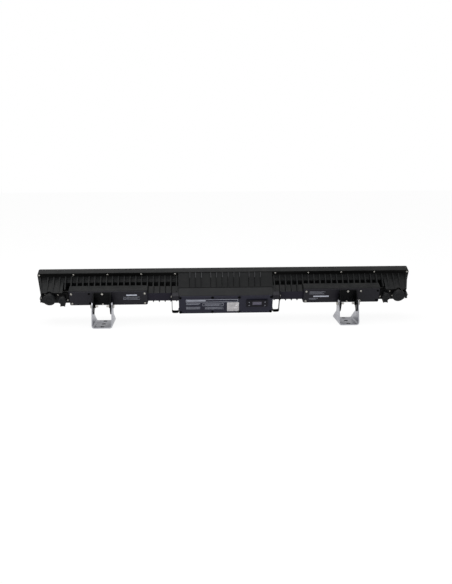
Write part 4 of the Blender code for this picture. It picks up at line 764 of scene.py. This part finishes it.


# Painted: colour, lighter patches, roughness, gloss, dust, wear, pebbles, relief, painted reflection on the
# spine from behind
FINISHES = {
    "cast_black": (painted, (24, 25, 26), (30, 31, 32), 0.52, 0.12, 0.10, 0.4, 700.0, 0.7, (32, 30, 41)),
    # Painted highlight on the fins over the spine
    "cast_edge": (painted, (50, 51, 53), (60, 61, 63), 0.50, 0.16, 0.10, 0.0, 700.0, 0.7),
    # Painted highlight at the upper ends of the centre ribs
    "rib_end": (painted, (82, 83, 86), (94, 95, 98), 0.45, 0.2, 0.0, 0.0, 700.0, 0.7),
    # Black for painted shade beside the ribs and fins and under the display bezel, and for the joint at the
    # control box
    "groove_black": (painted, (3, 3, 3), (5, 5, 5), 0.70, 0.03, 0.0, 0.0, 700.0, 0.7),
    "frame_black": (painted, (20, 21, 22), (26, 27, 28), 0.48, 0.14, 0.08, 0.3),
    "box_black": (painted, (26, 27, 29), (32, 33, 35), 0.50, 0.16, 0.08, 0.4),
    "cover_black": (painted, (24, 23, 30), (30, 29, 36), 0.42, 0.18, 0.05, 0.5),
    "plate_black": (painted, (30, 30, 44), (36, 36, 50), 0.42, 0.20, 0.05, 0.5),
    "bezel_black": (painted, (17, 16, 23), (22, 21, 28), 0.50, 0.14, 0.05, 0.3, 1500.0),
    "bracket_black": (painted, (5, 6, 7), (8, 9, 10), 0.38, 0.08, 0.04, 0.4, 1100.0),
    "socket_black": (painted, (15, 15, 17), (20, 20, 22), 0.55, 0.14, 0.08, 0.2, 1300.0),
    "flap_black": (painted, (20, 21, 23), (26, 27, 29), 0.50, 0.16, 0.10, 0.3, 1300.0),
    "holder_black": (painted, (13, 13, 14), (18, 18, 19), 0.60, 0.3, 0.05, 0.2, 1300.0),
    "seal_rubber": (painted, (14, 14, 14), (20, 20, 20), 0.80, 0.2, 0.10, 0.1, 1600.0),
    "button_grey": (painted, (44, 43, 50), (52, 51, 58), 0.55, 0.2, 0.05, 0.5, 1600.0),
    "screw_black": (painted, (3, 3, 4), (6, 6, 7), 0.45, 0.05, 0.0, 0.2, 1500.0),
    "board_green": (painted, (22, 72, 46), (28, 84, 54), 0.40, 0.5, 0.05, 0.1),
    "board_white": (painted, (206, 208, 206), (218, 220, 218), 0.45, 0.5, 0.05, 0.1),
    "yoke_silver": (brushed, (196, 197, 203), (172, 173, 179), 0.36, (60, 900, 900), 0.4),
    "loop_steel": (brushed, (128, 128, 131), (104, 104, 108), 0.24, (900, 60, 900), 0.4),
    "screw_zinc": (brushed, (206, 204, 198), (170, 167, 160), 0.30, (700, 700, 700), 0.3),
    # Painted shade on the walls of the yoke holes
    "punched_edge": (painted, (22, 22, 23), (34, 34, 35), 0.7, 0.1, 0.0, 0.0, 900.0, 0.8),
    "contact_brass": (brushed, (206, 174, 104), (180, 148, 82), 0.25, (700, 700, 700), 0.0),
    "case_zinc": (brushed, (165, 167, 170), (146, 148, 152), 0.34, (60, 900, 900), 0.3),
    "front_glass": (clear, (244, 248, 247), 0.02),
    "clear_lens": (diffusing_lens,),
    "display_panel": (display_glass,),
    "pale_print": (printed, (206, 210, 224)),
    "blank_label": (printed, (226, 223, 226), 0.6),
    "label_lines": (printed, (120, 119, 122), 0.6),
    "light_source": (printed, (222, 196, 96), 0.35),
}

# Slots of the record whose finish has another name
OTHER_FINISH = {
    "silver_yoke": "yoke_silver", "bare_steel": "loop_steel", "bright_screw": "screw_zinc",
    "washer_black": "seal_rubber", "nut_black": "screw_black", "white_board": "board_white",
    "green_board": "board_green", "zinc_case": "case_zinc", "display_window": "display_panel",
}

SLOTS = {part["node"]: part["material_slot"] for part in frame["record"]["subparts"]}
FINISH = {name: make(name, *values) for name, (make, *values) in FINISHES.items()}


def finish_of(slot):
    return FINISH[OTHER_FINISH.get(slot, slot)]


def dress_nodes():
    """Every CAD node gets its finish through its object's own slot."""
    for name, node in frame["nodes"].items():
        if not node.data.materials:
            node.data.materials.append(None)
        for slot in node.material_slots:
            slot.link = "OBJECT"
            slot.material = finish_of(SLOTS[name])


def bore(socket, side, kind):
    """Opens a socket's face, and sets its contacts on the floor of the bore."""
    x, height, radius = SOCKETS[kind]
    inner = radius - SOCKET_WALL
    bm = bmesh.new()
    drum(bm, side * x, height, inner, SOCKET_FLOOR, SOCKET_FACE + BORE_OVER, BORE_SIDES)
    tool = add("bore_tool", mesh_of("bore_tool", bm))
    opened = socket.modifiers.new("bore", "BOOLEAN")
    opened.object = tool
    opened.solver = "EXACT"
    applied(socket)
    bpy.data.objects.remove(tool)
    count, seats, thickness, share = CONTACTS[kind]
    bm = bmesh.new()
    for number in range(count):
        angle = 2 * pi * number / seats + pi / 2
        drum(bm, side * x + share * inner * cos(angle), height + share * inner * sin(angle), thickness,
             SOCKET_FLOOR, SOCKET_FACE - CONTACT_SUNK, CONTACT_SIDES)
    piece(socket.name.replace("_finished", "_contacts"), bm, "contact_brass")


def shade_hole_walls(yoke):
    """The walls of the holes in a yoke's base are rough, and painted dark as the shade inside the holes."""
    spots = [vertex.co for vertex in yoke.data.vertices]
    low = [min(spot[i] for spot in spots) for i in range(2)]
    high = [max(spot[i] for spot in spots) for i in range(2)]
    yoke.data.materials.append(FINISH["punched_edge"])
    for face in yoke.data.polygons:
        inside = all(low[i] + HOLE_MARGIN < face.center[i] < high[i] - HOLE_MARGIN for i in range(2))
        if inside and face.center.z < BASE_TOP and abs(face.normal.z) < WALL_TURN:
            face.material_index = 1


def round_edges():
    """The sheets, covers, flaps and bolts get rounded edges that catch the light."""
    softened("front_frame", CAST_EDGE)
    softened("control_box", CAST_EDGE)
    softened("control_plate", SHEET_EDGE)
    softened("display_bezel", MOULDED_EDGE)
    for number in BUTTONS:
        softened("menu_button_%d" % number, SMALL_EDGE)
    for side, word in SIDES:
        softened(word + "_driver_cover", SHEET_EDGE)
        softened(word + "_loop_lug", CAST_EDGE)
        loop = softened(word + "_side_loop", SMALL_EDGE, "bracket_black")
        softened(word + "_bracket_channel", CHANNEL_EDGE)
        shade_hole_walls(softened(word + "_yoke", SHEET_EDGE))
        for kind in SOCKETS:
            softened("%s_%s_flap" % (word, kind), FLAP_EDGE)
            bore(softened("%s_%s_socket" % (word, kind), MOULDED_EDGE), side, kind)
        for place in ("inner", "outer"):
            softened("%s_pivot_bolt_%s" % (word, place), MOULDED_EDGE)
            softened("%s_pivot_nut_%s" % (word, place), SMALL_EDGE)


# Screws and rows of copies, set by Geometry Nodes

def geometry_tree(name, *inputs):
    """A new tree with named inputs, each a (name, kind) pair, and its two ends."""
    tree = bpy.data.node_groups.new(name, "GeometryNodeTree")
    for label, kind in (("Geometry", "Geometry"),) + inputs:
        tree.interface.new_socket(label, in_out="INPUT", socket_type="NodeSocket" + kind)
    tree.interface.new_socket("Geometry", in_out="OUTPUT", socket_type="NodeSocketGeometry")
    return tree, tree.nodes.new("NodeGroupInput"), tree.nodes.new("NodeGroupOutput")


def finish_copies(tree, instance, given, made):
    """Ends a tree: its copies become plain mesh in one finish."""
    realize = tree.nodes.new("GeometryNodeRealizeInstances")
    coat = tree.nodes.new("GeometryNodeSetMaterial")
    tree.links.new(instance.outputs["Instances"], realize.inputs["Geometry"])
    tree.links.new(realize.outputs["Geometry"], coat.inputs["Geometry"])
    tree.links.new(given.outputs["Finish"], coat.inputs["Material"])
    tree.links.new(coat.outputs["Geometry"], made.inputs["Geometry"])


def fastener_tree():
    """Sets a fastener on every point, along the point's direction and turned at random."""
    tree, given, made = geometry_tree("fasteners_on_points", ("Fastener", "Object"), ("Finish", "Material"),
                                      ("Turn", "Float"), ("Seed", "Int"))
    pattern = tree.nodes.new("GeometryNodeObjectInfo")
    direction = tree.nodes.new("GeometryNodeInputNamedAttribute")
    direction.data_type = "FLOAT_VECTOR"
    direction.inputs["Name"].default_value = "direction"
    align = tree.nodes.new("FunctionNodeAlignRotationToVector")
    align.axis = "Z"
    turn = tree.nodes.new("FunctionNodeRandomValue")
    spin = tree.nodes.new("FunctionNodeAxisAngleToRotation")
    spin.inputs["Axis"].default_value = (0.0, 0.0, 1.0)
    rotate = tree.nodes.new("FunctionNodeRotateRotation")
    rotate.rotation_space = "LOCAL"
    instance = tree.nodes.new("GeometryNodeInstanceOnPoints")
    join = tree.links.new
    join(given.outputs["Fastener"], pattern.inputs["Object"])
    join(direction.outputs["Attribute"], align.inputs["Vector"])
    join(given.outputs["Turn"], turn.inputs[3])
    join(given.outputs["Seed"], turn.inputs["Seed"])
    join(turn.outputs[1], spin.inputs["Angle"])
    join(align.outputs["Rotation"], rotate.inputs["Rotation"])
    join(spin.outputs["Rotation"], rotate.inputs["Rotate By"])
    join(given.outputs["Geometry"], instance.inputs["Points"])
    join(pattern.outputs["Geometry"], instance.inputs["Instance"])
    join(rotate.outputs["Rotation"], instance.inputs["Rotation"])
    finish_copies(tree, instance, given, made)
    return tree


def row_tree():
    """Copies of a pattern in a straight row: named start, step and count, one finish."""
    tree, given, made = geometry_tree("row_of_copies", ("Pattern", "Object"), ("Count", "Int"),
                                      ("Start", "Vector"), ("Step", "Vector"), ("Finish", "Material"))
    pattern = tree.nodes.new("GeometryNodeObjectInfo")
    line = tree.nodes.new("GeometryNodeMeshLine")
    line.mode = "OFFSET"
    instance = tree.nodes.new("GeometryNodeInstanceOnPoints")
    join = tree.links.new
    join(given.outputs["Pattern"], pattern.inputs["Object"])
    join(given.outputs["Count"], line.inputs["Count"])
    join(given.outputs["Start"], line.inputs["Start Location"])
    join(given.outputs["Step"], line.inputs["Offset"])
    join(line.outputs["Mesh"], instance.inputs["Points"])
    join(pattern.outputs["Geometry"], instance.inputs["Instance"])
    finish_copies(tree, instance, given, made)
    return tree


FASTENERS = fastener_tree()
ROWS = row_tree()


def set_out(obj, tree, slot, **values):
    """Runs a tree on an object, with its inputs set by identifier, and keeps the plain mesh."""
    modifier = obj.modifiers.new("set_out", "NODES")
    modifier.node_group = tree
    for item in tree.interface.items_tree:
        if item.in_out == "INPUT" and item.name in values:
            modifier[item.identifier] = values[item.name]
    applied(obj)
    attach(obj, "head")


def fasteners(name, places, pattern, slot):
    """One mesh of all fasteners of a kind: places are (point, direction) pairs."""
    mesh = bpy.data.meshes.new(name)
    mesh.from_pydata([point for point, _ in places], [], [])
    mark = mesh.attributes.new("direction", "FLOAT_VECTOR", "POINT")
    mark.data.foreach_set("vector", [value for _, way in places for value in way])
    set_out(add(name, mesh), FASTENERS, slot, Fastener=pattern, Finish=finish_of(slot), Turn=2 * pi,
            Seed=SCREW_TURN_SEED)


def row(name, pattern, count, start, pitch, finish, slot):
    """One mesh of a pattern that repeats along the bar, from a first x on."""
    set_out(add(name, bpy.data.meshes.new(name)), ROWS, slot, Pattern=pattern, Count=count,
            Start=ALONG * start, Step=ALONG * pitch, Finish=FINISH[finish])
    bpy.data.objects.remove(pattern)


def frame_screw_places():
    """A row of screws along the upper lip and one along the lower."""
    edge = head_box("front_frame")[1]
    reach = edge.x - FRAME_SCREW_INSET
    height = edge.z - FRAME_SCREW_INSET
    step = 2 * reach / (FRAME_SCREWS - 1)
    return [facing_rear(-reach + step * i, 0, z) for z in (height, -height) for i in range(FRAME_SCREWS)]


def cover_screw_places():
    """Bright and black screws of both driver covers, as the photograph shows them."""
    bright, black = [], []
    for side, word in SIDES:
        low, high = head_box(word + "_driver_cover")
        channel_low, channel_high = head_box(word + "_bracket_channel")
        inner = min(abs(low.x), abs(high.x)) + COVER_SCREW_INSET
        outer = max(abs(low.x), abs(high.x)) - COVER_SCREW_INSET
        beside = abs(channel_low.x + channel_high.x) / 2 + COVER_BOLT_BESIDE
        dull = beside if side < 0 else outer
        for x in (inner, beside, outer):
            for z in (high.z - COVER_SCREW_INSET, low.z + COVER_SCREW_INSET):
                place = facing_rear(side * x, high.y, z)
                (black if x == dull else bright).append(place)
    return bright, black


def plate_screw_places():
    low, high = head_box("control_plate")
    across = high.x - PLATE_SCREW_INSET
    rows = (high.z - PLATE_SCREW_INSET, low.z + PLATE_SCREW_INSET)
    columns = (-across, -PLATE_SCREW_X, PLATE_SCREW_X, across)
    return [facing_rear(x, high.y, z) for z in rows for x in columns]


def run_on_top(bm, across, depths, lift, sunk, aside=0.0):
    """A strip between two x that follows the sloping top of the casting, measured a little aside."""
    rows = []
    for depth in depths:
        height = top_height("housing", sum(across) / 2 + aside, depth)
        low, high = height - sunk, height + lift
        rows.append([on_head(across[0], depth, low), on_head(across[1], depth, low),
                     on_head(across[1], depth, high), on_head(across[0], depth, high)])
    rings(bm, rows)


def centre_ribs():
    """A dark line of painted shade beside each rib of the centre block and a painted highlight at its upper
    end.
    """
    for number, (middle, count) in enumerate(RIB_GROUPS, 1):
        start = middle - (count - 1) / 2 * RIB_PITCH
        beside = start - RIB_WIDTH / 2 - RIB_SHADE_WIDTH
        # Painted shade: a dark line beside each rib
        lines = bmesh.new()
        run_on_top(lines, (beside, beside + RIB_SHADE_WIDTH), RIB_DEPTHS, RIB_LINE_LIFT, RIB_SUNK)
        # Painted highlight: a lighter tick at each rib's upper end
        ticks = bmesh.new()
        run_on_top(ticks, (start - RIB_TICK, start), (RIB_DEPTHS[0], RIB_TICK_END), RIB_TICK_LIFT, RIB_SUNK)
        for word, bm, finish in (("line", lines, "groove_black"), ("tick", ticks, "rib_end")):
            pattern = add(word, mesh_of(word, bm))
            row("rib_%ss_%d" % (word, number), pattern, count, 0.0, RIB_PITCH, finish, "cast_black")


def centre_seam():
    """The dark joint between the casting's slope and the control box."""
    low, high = head_box("control_box")
    end = low.y - SEAM_BEFORE_BOX
    bm = bmesh.new()
    run_on_top(bm, (low.x, high.x), (end - SEAM_WIDTH, end), SEAM_LIFT, RIB_SUNK)
    piece("centre_seam", bm, "groove_black")


def spine_ribs():
    """Fins that run down over the top of the spine, with their ends hanging under it, each lighter as a
    painted highlight with a strip of painted shade beside it.
    """
    for side, word in SIDES:
        half = TOOTH_THICKNESS / 2
        first = side * (FIRST_TOOTH + RIB_PITCH)
        across = (first - half, first + half)
        aside = side * RIB_PITCH / 2
        fin = bmesh.new()
        block(fin, (across[0], TOOTH_HEIGHTS[0]), (across[1], TOOTH_HEIGHTS[1]), *TOOTH_DEPTHS)
        run_on_top(fin, across, SPINE_RIB_DEPTHS, SPINE_RIB_STAND, SPINE_RIB_SUNK, aside)
        # Painted shade: a dark strip on one side of each fin
        shaded = (first - side * half, first - side * (half + SPINE_RIB_SHADE))
        shade = bmesh.new()
        run_on_top(shade, shaded, SPINE_RIB_DEPTHS, SPINE_SHADE_LIFT, SPINE_RIB_SUNK, aside)
        for label, bm, finish in (("rib", fin, "cast_edge"), ("shade", shade, "groove_black")):
            pattern = add(label, mesh_of(label, bm))
            row("%s_spine_%ss" % (word, label), pattern, TEETH, 0.0, side * RIB_PITCH, finish, "cast_black")


def light_sources():
    """A square of yellow phosphor on each light source of the board."""
    front = head_box("led_board")[0].y
    corner = (SOURCE_RADIUS, SOURCE_RADIUS)
    bm = bmesh.new()
    prism(bm, outline((-SOURCE_RADIUS, -SOURCE_RADIUS), corner, SOURCE_CORNER), front - SOURCE_STAND,
          front + SOURCE_SUNK)
    pattern = add("source", mesh_of("source", bm))
    start = -(LIGHTS - 1) / 2 * LIGHT_PITCH
    row("light_sources", pattern, LIGHTS, start, LIGHT_PITCH, "light_source", "white_board")


def blank_print(name, face, bars, fields, lines, finish):
    """A blank print that stands a hair proud of a face: bars, outlined fields and ruled lines."""
    proud = face + PRINT_THICKNESS
    bm = bmesh.new()
    for low, high in bars:
        block(bm, low, high, face, proud)
    for field in fields:
        border(bm, field.low, field.high, field.line, face, proud)
    for rule in lines:
        ruled(bm, rule.lengths, rule.start, rule.pitch, rule.line, face, proud)
    piece(name, bm, finish)


def control_prints():
    """Blank fields, fine lines and a blank label on the control plate."""
    face = rear_depth("control_plate", *PLATE_SPOT)
    blank_print("control_plate_print", face, (), PLATE_FIELDS, PLATE_LINES, "pale_print")
    label_face = face + LABEL_THICKNESS
    bm = bmesh.new()
    prism(bm, outline(*LABEL_CORNERS, LABEL_ROUNDING), face, label_face)
    piece("blank_label", bm, "blank_label")
    blank_print("blank_label_lines", label_face, (), (LABEL_FIELD,), (LABEL_LINES,), "label_lines")


def cover_prints():
    """A blank printed bar on each driver cover, with fine lines round it."""
    for side, word in SIDES:
        face = rear_depth(word + "_driver_cover", side * COVER_SPOT, 0.0)
        blank_print(word + "_cover_print", face, (COVER_BARS[word],), (), COVER_LINES[word],
                    "pale_print")


def bezel_seal():
    """A black strip of painted shadow along the lower edge of the display bezel."""
    low, high = head_box("display_bezel")
    face = rear_depth("control_plate", *PLATE_SPOT)
    bm = bmesh.new()
    block(bm, (low.x - BEZEL_SHADOW_ASIDE, low.z - BEZEL_SHADOW_STAND), (high.x + BEZEL_SHADOW_ASIDE, low.z), face,
          face + BEZEL_SHADOW_THICKNESS)
    piece("bezel_seal", bm, "groove_black")


def button_marks():
    """A short dash on each menu button."""
    across, tall = DASH_HALF
    for number in BUTTONS:
        button = "menu_button_%d" % number
        low, high = head_box(button)
        x, height = (low.x + high.x) / 2, (low.z + high.z) / 2
        bm = bmesh.new()
        block(bm, (x - across, height - tall), (x + across, height + tall), high.y, high.y + PRINT_THICKNESS)
        piece("button_mark_%d" % number, bm, "pale_print", button)


def ring_on(bm, x, height, reach, face):
    """A low moulded ring about a place on a face."""
    foot, crest = RING_HALF
    ridge = ((reach + foot, 0.0), (reach + crest, RING_STAND), (reach - crest, RING_STAND),
             (reach - foot, 0.0))
    rows = []
    for step in range(RING_STEPS):
        angle = 2 * pi * step / RING_STEPS
        rows.append([on_head(x + r * cos(angle), face - RING_SUNK + rise, height + r * sin(angle))
                     for r, rise in ridge])
    rings(bm, rows + rows[:1], closed_ends=False)


def flap_rings():
    """Two raised rings moulded on the face of each flap."""
    for side, word in SIDES:
        for kind, (x, height, radius) in SOCKETS.items():
            flap = "%s_%s_flap" % (word, kind)
            face = head_box(flap)[1].y
            bm = bmesh.new()
            for reach in (radius + FLAP_LIP - OUTER_RING_INSET, INNER_RING_SHARE * radius):
                ring_on(bm, side * x, height, reach, face)
            bmesh.ops.remove_doubles(bm, verts=bm.verts, dist=MERGED_WITHIN)
            ring = piece(flap + "_rings", bm, "flap_black", frame["nodes"][flap]["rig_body"])
            ring.data.shade_smooth()


def flange_screw_places():
    """Two screws on a diagonal of each socket's flange."""
    dx = FLANGE_HALF[0] - FLANGE_SCREW_INSET
    dz = FLANGE_HALF[1] - FLANGE_SCREW_INSET
    places = []
    for side, _ in SIDES:
        for x, height, _ in SOCKETS.values():
            for sign in (-1, 1):
                places.append(facing_rear(side * (x + sign * dx), SOCKET_FLANGE_REAR, height + sign * dz))
    return places


def loop_screw_places():
    """A screw through the outer run of each side loop."""
    return [(on_head(side * LOOP_OUTER, LOOP_MIDDLE_DEPTH, LOOP_SCREW_HEIGHT), ALONG * side)
            for side, _ in SIDES]


def small_screws():
    """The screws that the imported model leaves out, in the holes that it has for them."""
    small = screw_head("small_head", *SMALL_HEAD)
    medium = screw_head("medium_head", *MEDIUM_HEAD)
    wide = screw_head("wide_head", *WIDE_HEAD)
    bright, black = cover_screw_places()
    for name, places, head, slot in (
            ("frame_screws", frame_screw_places(), small, "bright_screw"),
            ("cover_screws_bright", bright, medium, "bright_screw"),
            ("cover_screws_black", black, medium, "nut_black"),
            ("plate_screws", plate_screw_places(), wide, "nut_black"),
            ("flange_screws", flange_screw_places(), small, "bright_screw"),
            ("loop_screws", loop_screw_places(), small, "bright_screw")):
        fasteners(name, places, head, slot)
    for pattern in (small, medium, wide):
        bpy.data.objects.remove(pattern)


# Studio

def seen_rays(tree, mirrored):
    """One for rays that see the background itself, and less for those that a surface mirrors."""
    rays = tree.nodes.new("ShaderNodeLightPath")
    seen = math(tree, "MAXIMUM", rays.outputs["Is Camera Ray"], rays.outputs["Is Transmission Ray"])
    return math(tree, "MAXIMUM", seen, math(tree, "MULTIPLY", rays.outputs["Is Glossy Ray"], mirrored))


def blended(tree, share, first, second, end):
    """Mixes two shaders by a share, up to the output."""
    blend = tree.nodes.new("ShaderNodeMixShader")
    out = tree.nodes.new(end)
    for socket, value in zip(blend.inputs, (share, first.outputs[0], second.outputs[0])):
        tree.links.new(value, socket)
    tree.links.new(blend.outputs[0], out.inputs["Surface"])


def white_floor():
    """A white floor that keeps the shadow."""
    bm = bmesh.new()
    bmesh.ops.create_grid(bm, x_segments=1, y_segments=1, size=FLOOR_REACH)
    obj = add("floor", mesh_of("floor", bm))
    material = bpy.data.materials.new("floor_white")
    material.use_nodes = True
    tree = material.node_tree
    tree.nodes.clear()
    seen = seen_rays(tree, FLOOR_MIRRORED)
    matt = tree.nodes.new("ShaderNodeBsdfDiffuse")
    put(matt, Color=(FLOOR_GREY, FLOOR_GREY, FLOOR_GREY, 1.0))
    glow = tree.nodes.new("ShaderNodeEmission")
    put(glow, Strength=FLOOR_GLOW)
    blended(tree, math(tree, "MULTIPLY", seen, FLOOR_GLOW_SHARE), matt, glow, "ShaderNodeOutputMaterial")
    obj.data.materials.append(material)


def background():
    """A white background whose own light is soft and comes mostly from above."""
    world = bpy.data.worlds.new("studio")
    world.use_nodes = True
    tree = world.node_tree
    tree.nodes.clear()
    seen = seen_rays(tree, WORLD_MIRRORED)
    rise = axis_of(tree, tree.nodes.new("ShaderNodeTexCoord").outputs["Generated"], "Z")
    soft = tree.nodes.new("ShaderNodeBackground")
    tree.links.new(spread(tree, rise, 0.0, WORLD_RISE, *WORLD_STRENGTHS), soft.inputs["Strength"])
    white = tree.nodes.new("ShaderNodeBackground")
    for shade in (soft, white):
        put(shade, Color=(1.0, 1.0, 1.0, 1.0))
    blended(tree, seen, soft, white, "ShaderNodeOutputWorld")
    bpy.context.scene.world = world


def lamps():
    """Round soft lamps that look at the bar."""
    for name, (place, width, power) in LAMPS.items():
        light = bpy.data.lights.new(name, "AREA")
        light.shape = "DISK"
        light.size = width
        light.energy = power
        obj = add(name, light)
        obj.location = place
        obj.rotation_euler = (LAMP_TARGET - place).to_track_quat("-Z", "Y").to_euler()


def camera():
    """The camera that was fitted to the photograph."""
    forward = Vector((sin(CAMERA_YAW) * cos(CAMERA_PITCH), cos(CAMERA_YAW) * cos(CAMERA_PITCH),
                      sin(CAMERA_PITCH)))
    right = Vector((cos(CAMERA_YAW), -sin(CAMERA_YAW), 0.0))
    up = right.cross(forward)
    rolled_right = right * cos(CAMERA_ROLL) + up * sin(CAMERA_ROLL)
    rolled_up = up * cos(CAMERA_ROLL) - right * sin(CAMERA_ROLL)
    lens = bpy.data.cameras.new("photograph_view")
    lens.sensor_fit = "VERTICAL"
    lens.sensor_height = SENSOR_HEIGHT
    lens.lens = FOCAL_PIXELS / PHOTO_HEIGHT * SENSOR_HEIGHT
    obj = add("photograph_view", lens)
    place = Matrix((rolled_right, rolled_up, -forward)).transposed().to_4x4()
    place.translation = LIP_MIDDLE + CAMERA_FROM_LIP
    obj.matrix_world = place
    bpy.context.scene.camera = obj
    bpy.context.scene.view_settings.view_transform = "Standard"


def main():
    dress_nodes()
    round_edges()
    centre_ribs()
    centre_seam()
    spine_ribs()
    light_sources()
    control_prints()
    cover_prints()
    bezel_seal()
    button_marks()
    flap_rings()
    small_screws()
    white_floor()
    background()
    lamps()
    camera()


main()
bpy.context.view_layer.update()
